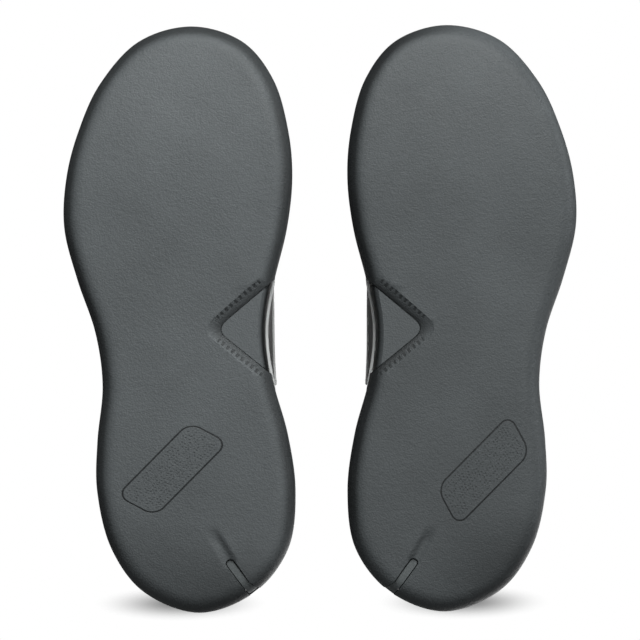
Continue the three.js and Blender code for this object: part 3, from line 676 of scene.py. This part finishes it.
def laceFinish(name, colour):  # braid: two sets of slanting strands
    finish = Finish(name)
    u, v, _ = finish.split(finish.place("cloth"))
    along, around = u * (2 * math.pi / 0.0024), v * (2 * math.pi * 5)
    first, second = (along + around).sine(), (along - around).sine()
    strands = first.most(second)
    fuzz = finish.noise(2500, 2)
    tint = finish.tinted(colour, 0.72 + strands * 0.2 + (fuzz - 0.5) * 0.25)
    normal = finish.bump(strands + fuzz * 0.3, 0.00025, 0.8)
    return finish.done(tint, 0.75 + (fuzz - 0.5) * 0.1, normal, **{"Sheen Weight": 0.3})


def shankFinish(side):  # the sole's rubber, with painted shade: near black up the plate's hidden sides
    look, finish = soleLook, Finish("shankRubber_" + side)
    z = localPlace(finish, side)[2]
    cloud = finish.noise(24, 3, 0.6)
    tint = finish.tinted([value * 1.02 for value in look[side]], 0.94 + cloud * 0.14)
    # near black above the recess floor is painted shade
    tint = finish.mix(z.rise(2.5, 5.2), tint, (0.006, 0.007, 0.007))
    normal = finish.bump(finish.noise(look["wrinkle"], 4, 0.65) * 0.9 + finish.cells(look["grain"]) * 0.5,
                         look["grainDepth"], 0.7)
    return finish.done(tint, 0.46 + (cloud - 0.5) * 0.14, normal, **{"Specular IOR Level": look["gloss"]})


looks = {
    "upper": leather("upperLeather", (0.011, 0.011, 0.012), 0.4, 520, 0.00014),
    "trim": leather("trimLeather", (0.017, 0.017, 0.019), 0.36, 900, 0.00007, 0.15, 0.25),
    "white": leather("whiteLeather", (0.78, 0.78, 0.765), 0.42, 800, 0.00007, 0.07, 0.15),
    "foam": foamFinish("midsoleFoam", (0.155, 0.168, 0.171), 1400, 0.00008, 0.62),
    "padding": foamFinish("openFoam", (0.5, 0.46, 0.36)),
    "gel": moulded("gel", (0.08, 0.3, 0.38), 0.25),
    "board": foamFinish("fibreBoard", (0.32, 0.25, 0.15), 500, 0.00015, 0.9),
    "stiff": moulded("stiffener", (0.4, 0.38, 0.34), 0.5),
    "lining": clothFinish("liningMesh", (0.03, 0.031, 0.035), 0.0016, 0.0005, 0.8),
    "sockliner": clothFinish("socklinerCloth", (0.035, 0.036, 0.04), 0.0013, 0.0003),
    "webbing": clothFinish("webbing", (0.022, 0.022, 0.025), 0.0014, 0.0004, 0.7),
    "thread": threadFinish("blackThread", (0.075, 0.075, 0.08)),
    "whiteThread": threadFinish("whiteThread", (0.72, 0.71, 0.68)),
    "piping": moulded("pipingPlastic", (0.88, 0.88, 0.87), 0.3),
    "ring": moulded("eyeletRing", (0.2, 0.2, 0.21), 0.32, 0.85),
    "lace": laceFinish("laceBraid", (0.74, 0.74, 0.71)),
}
print("finishes mixed")

cupRows = [  # the rubber cup's section, from the tread's middle round the edge and back inside
    {"toSpine": 1, "over": 0}, {"toSpine": 0.75, "over": 0}, {"toSpine": 0.5, "over": 0}, {"inset": 12, "over": 0},
    *rolledEdge(0), {"inset": 0, "over": 13}, {"inset": 0.35, "on": -5.8}, {"inset": 0.7, "on": -5.2},
    {"inset": 1.4, "on": -5}, {"inset": 2.5, "on": -5}, {"inset": 3.3, "over": 7.5}, {"inset": 8, "over": 4.5},
    {"toSpine": 0.5, "over": 4.5}, {"toSpine": 1, "over": 4.5},
]
windowTaper = [  # the window's margin at each height
    (4.6, -1.3), (4.6, -0.07), (4.35, 0.12), (3.1, 0.8), (1.6, 1.55), (0.35, 2.2), (0.0, 2.5), (0.0, 40),
]
slotTaper = [(0.4, -1.1), (0.4, 0.55), (0.13, 0.83), (0, 1.21), (0, 14.3)]


def makeOutsole():
    piece = ringPiece("rubberCup", cupRows)
    margins, levels = zip(*windowTaper)
    combine(piece, prismPiece("windowCutter", [wedgeOutline(margin) for margin in margins], levels))
    margins, levels = zip(*slotTaper)
    combine(piece, prismPiece("slotCutter", [slotOutline(margin) for margin in margins], levels))
    combine(piece, prismPiece("flareCutter", [flareOutline(0)] * 2, [-1.7, 15.1]))
    tidyMesh(piece, 35)
    applyModifier(piece, "BEVEL", width=0.0003, segments=2, limit_method="ANGLE", angle_limit=math.radians(38))
    tidyMesh(piece, 32)
    return keep(piece, "rubber", "sole", "outsole")


def envelope(name, depth, least):  # what the cup leaves free inside, above that height
    rows = [{"toSpine": 1, "over": least}, {"toSpine": 0.5, "over": least}, {"inset": 12, "over": least}]
    rolled = [dict(row, over=max(row["over"], least)) for row in rolledEdge(depth)]
    return ringPiece(name, [*rows, *rolled, {"inset": depth + 0.3, "on": -6}, {"inset": depth + 1.8, "on": -6},
                            {"inset": 3.6, "over": least + 6}, {"inset": 8.5, "over": least + 4},
                            {"toSpine": 1, "over": least + 4}])


def makeShank():
    piece = envelope("shankPlate", 0.9, shape["windowRecess"])
    cutter = prismPiece("shankOutline", [wedgeOutline(-0.3)] * 2, [1, 40])
    combine(piece, cutter, "INTERSECT")
    tidyMesh(piece, 35)
    applyModifier(piece, "BEVEL", width=0.0003, segments=2, limit_method="ANGLE", angle_limit=math.radians(45))
    tidyMesh(piece, 32)
    return keep(piece, "shank", "shank", "shank_plate")


def makeSlotPlug():
    plug = prismPiece("slotPlug", [slotOutline(-0.42)] * 2, [0.5, 15])
    combine(plug, prismPiece("plugFlare", [flareOutline(-0.42)] * 2, [0.4, 15.2]), "UNION")
    rows = [{"toSpine": 1, "over": 1.0}, {"inset": 12, "over": 1.0}, *rolledEdge(1.0),
            {"inset": 1.3, "on": -5.5}, {"inset": 4, "on": -5.5}, {"toSpine": 1, "on": -5.5}]
    combine(plug, ringPiece("plugEnvelope", rows), "INTERSECT")
    tidyMesh(plug, 35)
    return keep(plug, "midsole_foam", "foam", "midsole")


def lipInset(shares):
    return np.maximum(1.6, upperFoot(shares) - 3.4)


def makeMidsole():
    rows = [
        {"toSpine": 1, "over": 4.8}, {"toSpine": 0.5, "over": 4.8}, {"inset": 8.5, "over": 4.8},
        {"inset": 3.9, "over": 7.8},
        {"inset": 3.0, "on": -5.5}, {"inset": 3.0, "on": -4.7}, {"inset": lambda s: lipInset(s) + 0.4, "on": -4.3},
        {"inset": lipInset, "on": -3.7}, {"inset": lipInset, "on": -1.0},
        {"inset": lambda s: lipInset(s) + 0.25, "on": -0.3}, {"inset": lambda s: lipInset(s) + 0.9, "on": 0},
        {"inset": lambda s: upperFoot(s) + 4, "on": 0}, {"toSpine": 0.5, "on": 0}, {"toSpine": 1, "on": 0},
    ]
    piece = ringPiece("foamCore", rows)
    return keep(piece, "midsole_foam", "foam", "midsole")


piping = {"reach": 0.045, "inset": 0.45, "above": -3.6, "radius": 0.9, "stations": 70, "taper": 0.006}


def makePiping():
    shares = np.linspace(archShare - piping["reach"], archShare + piping["reach"], piping["stations"])
    path = plan(shares, piping["inset"])
    path[:, 2] = seat(path) + piping["above"]
    nearEnd = np.minimum(shares - shares[0], shares[-1] - shares) / piping["taper"]
    width = piping["radius"] * np.minimum(1, np.sqrt(np.clip(nearEnd, 0.02, 1)))
    piece = tubeAlong("waistPiping", path, np.tile([0, 0, 1.0], (len(path), 1)), width, width, 16)
    return keep(piece, "piping", "piping", "waist_piping")


insole = {"inset": 4.4, "bottom": 2.0, "top": 5.6, "cup": 1}


def makeInsole():
    beyond, bottom, top, cup = insole.values()
    edge = lambda extra: lambda shares: upperFoot(shares) + beyond + extra
    rows = [{"toSpine": 1, "on": bottom}, {"inset": edge(0.7), "on": bottom}, {"inset": edge(0), "on": bottom + 0.5},
            {"inset": edge(0), "on": top - 0.5 + cup}, {"inset": edge(0.7), "on": top + cup},
            {"inset": edge(9), "on": top}, {"toSpine": 0.5, "on": top}, {"toSpine": 1, "on": top}]
    piece = ringPiece("insole", rows, 200)
    corners = np.zeros(len(piece.data.loops), int)
    piece.data.loops.foreach_get("vertex_index", corners)
    places = np.zeros(len(piece.data.vertices) * 3)
    piece.data.vertices.foreach_get("co", places)
    layer = piece.data.uv_layers.active
    layer.name = "cloth"
    layer.data.foreach_set("uv", places.reshape(-1, 3)[corners, :2].ravel())
    return keep(piece, "sockliner", "sockliner", "sockliner")


makeOutsole()
makeShank()
makeSlotPlug()
makeMidsole()
makePiping()
makeInsole()
print("sole made")

upperSizes = {
    "padding": 5.0, "lining": 1.0, "flapLine": 0.84, "throatFoot": 0.036, "throatTop": 0.325, "collarLow": 0.9,
}
overIn, overOut = 1.75, 3.1  # faces of the pieces sewn over the shell
insideIn, insideOut = -1.3, -0.3  # and of those between shell and lining


def away(shares):  # how far round from the toe, either way
    return np.abs((np.asarray(shares) + 0.5) % 1.0 - 0.5)


def shellTop(shares):  # the shell stops low under the eyestay and under the collar's roll
    a, flap, collar = away(shares), upperSizes["flapLine"], upperSizes["collarLow"]
    drop = eased((a - upperSizes["throatFoot"] + 0.01) / 0.014)
    rise = eased((a - upperSizes["throatTop"]) / 0.02)
    return 0.985 - drop * (0.985 - flap) + rise * (collar - flap)


def cushion(shares, heights):  # how full the collar's padding is
    back = eased((away(shares) - 10 / 32) / (2 / 32))
    up = eased((heights - 0.68) / 0.16)
    return back * up * (1 - 0.5 * eased((heights - 0.93) / 0.07))


def liningOuter(shares, heights):
    return -1.6 - upperSizes["padding"] * cushion(shares, heights)


def liningInner(shares, heights):
    return liningOuter(shares, heights) - upperSizes["lining"]


def toeTop(shares):
    return 0.48 - 0.1 * (away(shares) / (3 / 32)) ** 2


def counterTop(shares):
    return 0.84 - 0.3 * ((0.5 - away(shares)) / 0.094) ** 2


def saddleLow(shares):
    return 0.34 + 2.2 * np.abs(shares - 0.272) ** 1.3


over, under = (overIn, overOut), (insideIn, insideOut)
shell, ends, foam = (0, 1.6), 3 / 32, (0.02, 0.7)
panels = {  # where round the upper, inner and outer face, lower and upper line, columns and rows, edge, use
    "vampPanel": ((-0.13, 0.13), shell, (0, shellTop), (90, 60), 0.8, "upper_leather", "upper", "vamp"),
    "quarterMedial": ((0.1302, 0.5), shell, (0, shellTop), (110, 60), 0.8, "upper_leather", "upper", "quarter_medial"),
    "quarterLateral": ((0.5, 0.8698), shell, (0, shellTop), (110, 60), 0.8,
                       "upper_leather", "upper", "quarter_lateral"),
    "toeCap": ((-ends, ends), over, (0.004, toeTop), (70, 26), 0.8, "trim_leather", "trim", "toe_cap"),
    "heelCounter": ((0.5 - ends, 0.5 + ends), over, (0.004, counterTop), (60, 30), 0.8,
                    "trim_leather", "trim", "heel_counter"),
    "saddleMedial": ((6 / 32, 10 / 32), over, (saddleLow, 0.72), (50, 30), 0.8,
                     "saddle_leather", "white", "saddle_medial"),
    "saddleLateral": ((23 / 32, 27 / 32), over, (0.004, 0.72), (50, 36), 0.8,
                      "saddle_leather", "white", "saddle_lateral"),
    "meshLining": ((0, 1), (liningInner, liningOuter), (0.02, shellTop), (200, 50), 0.8,
                   "lining_fabric", "lining", "lining"),
    "heelStiffener": ((0.5 - ends, 0.5 + ends), under, foam, (60, 24), 0.4, "stiffener", "stiff", "heel_stiffener"),
    "toePuff": ((-ends, ends), under, (0.02, 0.47), (60, 24), 0.4, "stiffener", "stiff", "toe_puff"),
    "sideFoamMedial": ((4 / 32, 12 / 32), under, foam, (60, 24), 0.4, "padding", "padding", "side_foam_medial"),
    "sideFoamLateral": ((20 / 32, 28 / 32), under, foam, (60, 24), 0.4, "padding", "padding", "side_foam_lateral"),
}
for name, (span, faces, rise, grid, edge, *use) in panels.items():
    keep(layerPiece(name, *span, *faces, *rise, *grid, edge, closed=span == (0, 1)), *use)


collar = {
    "start": 11 / 32 - 0.012, "end": 21 / 32 + 0.012, "low": 0.885, "high": 1.02,
    "outer": 1.9, "edge": 3.4, "fill": 0.8,
}


def makeCollar():
    inner = lambda shares, heights: -6.4 + 2.6 * eased((heights - 0.93) / 0.1)
    roll = layerPiece("collarRoll", collar["start"], collar["end"], inner, collar["outer"], collar["low"],
                      collar["high"], 90, 14, collar["edge"])
    return keep(roll, "padding", "trim", "collar_pad")


makeCollar()
sideNames = {1: "medial", -1: "lateral"}
eyelets = {"count": 6, "first": 0.062, "reach": 0.223, "line": 0.92, "bore": 2.7, "ring": 3.05, "ringWire": 0.55}


def eyestayLow(shares):
    return 0.8 - 0.06 * eased((away(shares) - upperSizes["throatFoot"]) / 0.06)


def makeEyestay(side):
    inner = lambda shares, heights: overIn - 2.5 * eased((heights - 0.835) / 0.03)
    start, end = sorted((side * upperSizes["throatFoot"], side * upperSizes["throatTop"]))
    piece = layerPiece("eyestay" + sideNames[side].title(), start, end, inner, overOut, eyestayLow, 1.0, 110, 26, 0.6)
    for share in eyeletShares(side):
        point, normal = wall(share, eyelets["line"], 1.2)
        deselect()
        bpy.ops.mesh.primitive_cylinder_add(vertices=32, radius=eyelets["bore"] / 1000, depth=0.012)
        drill = bpy.context.object
        drill.matrix_world = faceMatrix(point, normal)
        applyTransforms(drill)
        combine(piece, drill)
    tidyMesh(piece, 40)
    return keep(piece, "trim_leather", "trim", "eyestay_" + sideNames[side])


def eyeletShares(side):
    last = eyelets["count"] - 1
    return [side * (eyelets["first"] + i / last * eyelets["reach"]) for i in range(eyelets["count"])]


def faceMatrix(point, normal):
    turn = Vector(normal).to_track_quat("Z", "Y").to_matrix().to_4x4()
    place = Vector([float(value) * 0.001 for value in point])
    place.x -= shape["spacing"] / 2000
    return Matrix.Translation(place) @ turn


def applyTransforms(piece):
    deselect()
    piece.select_set(True)
    bpy.context.view_layer.objects.active = piece
    bpy.ops.object.transform_apply(location=True, rotation=True, scale=True)


def joined(pieces, name):
    deselect()
    for piece in pieces:
        piece.select_set(True)
    bpy.context.view_layer.objects.active = pieces[0]
    bpy.ops.object.join()
    pieces[0].name = name
    return pieces[0]


def makeEyeletRings(side):
    rings = []
    for share in eyeletShares(side):
        point, normal = wall(share, eyelets["line"], overOut)
        deselect()
        bpy.ops.mesh.primitive_torus_add(major_segments=28, minor_segments=8, major_radius=eyelets["ring"] / 1000,
                                         minor_radius=eyelets["ringWire"] / 1000)
        ring = bpy.context.object
        ring.scale = (1, 1, 0.7)
        applyTransforms(ring)
        ring.matrix_world = faceMatrix(point, normal)
        applyTransforms(ring)
        rings.append(ring)
    piece = joined(rings, "eyeletRings" + sideNames[side].title())
    tidyMesh(piece, 60)
    return keep(piece, "trim_leather", "ring", "eyestay_" + sideNames[side])


for side in (1, -1):
    makeEyestay(side)
    makeEyeletRings(side)


tongue = {"halfWidth": 21, "arch": 0.022, "fill": 0.7, "columns": 30}
tongueLine = [(198, 71), (180, 80.5), (160, 89.5), (138, 98), (115, 106), (98, 115.5), (87, 127)]  # from the heel, up


def tonguePath(steps=60):
    root, _ = wall(0.0, 0.86, -2.9)
    points = np.array([root, *[[-1, 150 - s, z] for s, z in tongueLine]], float)
    path = smoothPath(points, 12)
    return resample(path, np.linalg.norm(np.diff(path, axis=0), axis=1).sum() / steps)


def tongueLayer(name, start, thickness, narrower):  # one layer, that far under the tongue's top
    path = tonguePath()
    steps = np.linspace(0, 1, len(path))
    columns = tongue["columns"]
    across = np.linspace(-1, 1, columns + 1)
    half = tongue["halfWidth"] * (0.72 + 0.28 * eased(steps * 1.6)) - narrower
    half = half * np.sqrt(np.clip(1 - np.clip((steps - 0.9) / 0.1, 0, 1) ** 2 * 0.45, 0.1, 1))
    offset = across[:, None] * half[None, :]
    swellAcross = np.sqrt(np.clip(1 - np.abs(across) ** 10, 0.0, 1))
    swellAlong = np.sqrt(np.clip(1 - np.abs(2 * steps - 1) ** 24, 0.0, 1))
    swell = swellAcross[:, None] * swellAlong[None, :]
    top = np.repeat(path[None], columns + 1, 0).copy()
    top[..., 0] += offset
    top[..., 2] -= tongue["arch"] * offset ** 2 + start
    middle = top.copy()
    middle[..., 2] -= thickness / 2
    upper, lower = middle.copy(), middle.copy()
    upper[..., 2] += thickness / 2 * swell
    lower[..., 2] -= thickness / 2 * swell
    points = np.concatenate([upper, lower[:, ::-1]], 1)
    points = np.concatenate([points, points[:, :1]], 1)
    run = steps * 0.16
    u = np.repeat(np.concatenate([run, run[::-1], run[:1]])[None], columns + 1, 0)
    v = np.concatenate([offset, offset[:, ::-1], offset[:, :1]], 1) * 0.001
    return gridPiece(name, points, 50, np.stack([u, v], -1))


keep(tongueLayer("tongueCover", 0, 1.2, 0), "upper_leather", "upper", "tongue_cover", body="tongue")
paddingLayer = keep(tongueLayer("tonguePadding", 1.3, 3.2, 0.8), "padding", "padding", "tongue_padding", body="tongue")
keep(tongueLayer("tongueLining", 4.6, 1.0, 0), "lining_fabric", "lining", "tongue_lining", body="tongue")
print("upper made")


lace = {"halfWidth": 2.4, "halfThick": 1.0, "under": -3.6, "over": 4.3, "knotRadius": 1.5, "knotCord": 1.2}


def laceSection(points, normals, name):
    path = resample(smoothPath(points, 12), 0.9)
    run = np.linspace(0, 1, len(path))
    guide = np.stack([np.interp(run, np.linspace(0, 1, len(normals)), np.asarray(normals)[:, k]) for k in range(3)], 1)
    ends = np.minimum(1, np.sqrt(np.clip(np.minimum(run, 1 - run) / 0.03, 0.05, 1)))
    return tubeAlong(name, path, guide, lace["halfWidth"] * ends, lace["halfThick"] * ends, 14)


def makeLace():
    holes = {side: eyeletShares(side) for side in (1, -1)}
    line, low, high, up = eyelets["line"], lace["under"], lace["over"], np.array([0, -0.3, 1.0])

    def hole(side, i, height, depth):
        return wall(holes[side][i], height, depth)
    bar, other = ([hole(side, 0, line, low), hole(side, 0, line, high - 1.2), hole(side, 0, 0.97, high + 0.4)]
                  for side in (1, -1))
    path = [point for point, _ in bar] + [point for point, _ in other][::-1]
    sections = [laceSection(path, [bar[0][1], bar[1][1], up, up, other[1][1], other[0][1]], "laceBar")]
    for side, lift in ((1, 3.4), (-1, 1.8)):  # one side's strands cross over the other's
        for i in range(eyelets["count"] - 1):
            start = [hole(side, i, line, low + 0.8), hole(side, i, 1.0, low - 0.2)]
            end = [hole(-side, i + 1, 1.03, high + 0.8), hole(-side, i + 1, 0.965, high + 0.5),
                   hole(-side, i + 1, line, high - 1.6), hole(-side, i + 1, line, low + 0.6)]
            middle = (start[1][0] + end[0][0]) / 2 + np.array([0, 0, lift])
            path = [point for point, _ in start] + [middle] + [point for point, _ in end]
            guide = [start[0][1], up, up, up, end[1][1], end[2][1], end[3][1]]
            sections.append(laceSection(path, guide, "laceStrand"))
    for side in (1, -1):
        deselect()
        bpy.ops.mesh.primitive_torus_add(major_segments=24, minor_segments=10, major_radius=lace["knotRadius"] / 1000,
                                         minor_radius=lace["knotCord"] / 1000)
        knot = bpy.context.object
        knot.data.uv_layers.active.name = "cloth"
        knot.matrix_world = faceMatrix(*hole(side, eyelets["count"] - 1, line, high + 0.6))
        applyTransforms(knot)
        sections.append(knot)
    piece = joined(sections, "braidedLace")
    tidyMesh(piece, 60)
    return keep(piece, "lace", "lace", "lace")


pullTab = {"halfWidth": 8, "halfThick": 0.75, "off": 0.3, "heights": (0.76, 0.84, 0.92, 0.98), "stands": (5, 12)}


def makePullTab():
    points = [wall(0.5, height, overOut + pullTab["off"])[0] for height in pullTab["heights"]]
    top = wall(0.5, 1.0, overOut + pullTab["off"])[0]
    path = resample(smoothPath([*points, *(top + [0, 0, rise] for rise in pullTab["stands"])], 10), 1.0)
    nearEnd = np.minimum(np.arange(len(path)), np.arange(len(path))[::-1]) / 1.2
    widths = pullTab["halfWidth"] * np.sqrt(np.clip(nearEnd, 0.15, 1))
    piece = tubeAlong("pullTab", path, np.tile([0, 1.0, 0.2], (len(path), 1)), widths, pullTab["halfThick"], 20)
    return keep(piece, "webbing", "webbing", "pull_tab")


def makeStitching():
    rows, depth, line = [], overOut + 0.05, lambda a, b, n=90: np.linspace(a, b, n)
    s = line(-0.088, 0.088)
    rows.append(("capStitch", "thread", "toe_cap", s, toeTop(s) - 0.022, depth))
    rows.append(("capStitchTwo", "thread", "toe_cap", s * 0.985, toeTop(s) - 0.05, depth))
    s = line(13 / 32 + 0.006, 19 / 32 - 0.006)
    rows.append(("counterStitch", "thread", "heel_counter", s, counterTop(s) - 0.025, depth))
    for side, name in sideNames.items():
        s = side * line(upperSizes["throatFoot"] + 0.004, upperSizes["throatTop"] - 0.004, 150)
        rows.append((f"stayStitch_{name}", "thread", f"eyestay_{name}", s, eyestayLow(s) + 0.022, depth))
        rows.append((f"throatStitch_{name}", "thread", f"eyestay_{name}", s, 0.975, depth))
        for k, edge in enumerate((6 / 32 + 0.004, 10 / 32 - 0.004) if side > 0 else (5 / 32 + 0.004, 9 / 32 - 0.004)):
            h = line(saddleLow(edge) + 0.01 if side > 0 else 0.03, 0.705, 60)
            rows.append((f"saddleStitch{k}_{name}", "whiteThread", f"saddle_{name}", side * edge, h, depth))
        s = side * line(upperSizes["throatTop"] + 0.03, 0.5 - 0.004, 80)
        rows.append((f"collarStitch_{name}", "thread", f"quarter_{name}", s, 0.868, 1.7))
    for name, look, node, shares, heights, out in rows:
        keep(stitchRow(name, shares, heights, out), "trim_leather", look, node)


makeLace()
makePullTab()
makeStitching()
print("trim made")

cadLooks = {"heel_cushion": "gel", "lasting_board": "board"}  # these keep their shape
soleLooks = {side: {"sole": rubberSole(side), "shank": shankFinish(side)} for side in ("right", "left")}


def mirrored(piece):
    deselect()
    piece.select_set(True)
    bpy.context.view_layer.objects.active = piece
    bpy.ops.object.duplicate()
    twin = bpy.context.object
    twin.scale = (-1, 1, 1)
    applyTransforms(twin)
    tidyMesh(twin, 40)
    return twin


def settle(piece, side, name, body, nodes, look):
    piece.name = piece.data.name = f"{side}_{name}"
    piece.data.materials.clear()
    piece.data.materials.append(soleLooks[side].get(look) or looks[look])
    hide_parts(*[f"{side}_{node}" for node in nodes])
    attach(piece, f"{side}_{body}")


for piece, body, nodes, slot, look in rightPieces:
    twin = mirrored(piece)
    name = piece.name
    settle(twin, "left", name, body, nodes, look)
    settle(piece, "right", name, body, nodes, look)
for side in ("right", "left"):
    for name, look in cadLooks.items():
        materials = bpy.data.objects[f"{side}_{name}"].data.materials
        materials.clear()
        materials.append(looks[look])
print("both shoes made")


floorLook = {
    "skyTones": ((0.0, 0.04), (0.5, 0.04), (0.75, 0.08), (1.0, 0.09)), "size": 4, "fade": (0.35, 1.3),
    # the painted shadow under the heels
    "shadeCentre": 0.0735, "shadeHalf": 0.046, "shadeLine": 0.148, "shadeReach": 0.0095, "shadeStrength": 0.8,
}


def makeWorld():
    world = bpy.context.scene.world or bpy.data.worlds.new("room")
    bpy.context.scene.world = world
    world.use_nodes = True
    tree = world.node_tree
    background = next(n for n in tree.nodes if n.type == "BACKGROUND")
    place = tree.nodes.new("ShaderNodeTexCoord")
    split = tree.nodes.new("ShaderNodeSeparateXYZ")
    spread = tree.nodes.new("ShaderNodeMapRange")
    spread.inputs["From Min"].default_value = -1
    ramp = tree.nodes.new("ShaderNodeValToRGB")
    for k, (position, tone) in enumerate(floorLook["skyTones"]):
        element = ramp.color_ramp.elements[k] if k < 2 else ramp.color_ramp.elements.new(position)
        element.position, element.color = position, (tone, tone, tone, 1)
    seen = tree.nodes.new("ShaderNodeLightPath")  # the backdrop is white where it is looked at
    mixer = tree.nodes.new("ShaderNodeMix")
    mixer.data_type = "RGBA"
    mixer.inputs[7].default_value = (1, 1, 1, 1)
    tree.links.new(place.outputs["Generated"], split.inputs[0])
    tree.links.new(split.outputs["Z"], spread.inputs["Value"])
    tree.links.new(spread.outputs[0], ramp.inputs[0])
    tree.links.new(seen.outputs["Is Camera Ray"], mixer.inputs[0])
    tree.links.new(ramp.outputs[0], mixer.inputs[6])
    tree.links.new(mixer.outputs[2], background.inputs["Color"])


def seenOnlyInFront(finish, opacity=1.0):  # nothing shows from the surface's back
    clear = finish.node("ShaderNodeBsdfTransparent")
    back = finish.node("ShaderNodeNewGeometry").part("Backfacing")
    mixer = finish.node("ShaderNodeMixShader", {}, {0: 1 - (1 - back) * opacity}).socket.node
    finish.tree.links.new(finish.shader.outputs[0], mixer.inputs[1])
    finish.tree.links.new(clear.socket, mixer.inputs[2])
    finish.tree.links.new(mixer.outputs[0], finish.output.inputs["Surface"])


def makePlane(name, sizes, rotation, location, finish):
    deselect()
    bpy.ops.mesh.primitive_plane_add(size=1, rotation=rotation, location=location)
    plane = bpy.context.object
    plane.name = name
    plane.scale = (*sizes, 1)
    applyTransforms(plane)
    plane.data.materials.append(finish.material)
    for way in ("diffuse", "glossy", "transmission", "shadow"):  # keeps the soles lit from beneath
        setattr(plane, "visible_" + way, False)
    return plane


def makeStage():
    makeWorld()
    finish = Finish("floorPaper")
    tone = finish.noise(3, 3)
    finish.done(finish.mix(tone, (0.8, 0.8, 0.8), (0.84, 0.84, 0.84)), 0.7 + (tone - 0.5) * 0.1,
                finish.bump(finish.noise(900, 3), 0.0002, 0.3))
    x, y, z = finish.split(finish.place())
    seenOnlyInFront(finish, 1 - ((x * x + y * y) ** 0.5).rise(*floorLook["fade"]))
    makePlane("floor", [floorLook["size"]] * 2, (0, 0, 0), (0, 0, -0.0002), finish)
    # a painted shadow card under the heels, seen only from beneath
    shade = Finish("heelShade")
    x, y, z = shade.split(shade.place())
    across = abs(abs(x) - floorLook["shadeCentre"]) / floorLook["shadeHalf"]
    down = (y - floorLook["shadeLine"]) / floorLook["shadeReach"]
    paintedShadow = 1 - ((across * across + down * down) ** 0.5).rise(0, 1)
    shade.done(shade.mix(paintedShadow, (0.3, 0.3, 0.3), (0.05, 0.05, 0.05)), 0.9 + x * 0)
    seenOnlyInFront(shade, paintedShadow * floorLook["shadeStrength"])
    makePlane("heelShade", (0.3, 0.06), (math.pi, 0, 0), (0, 0.15, 0.04), shade)


makeStage()
print("stage set")
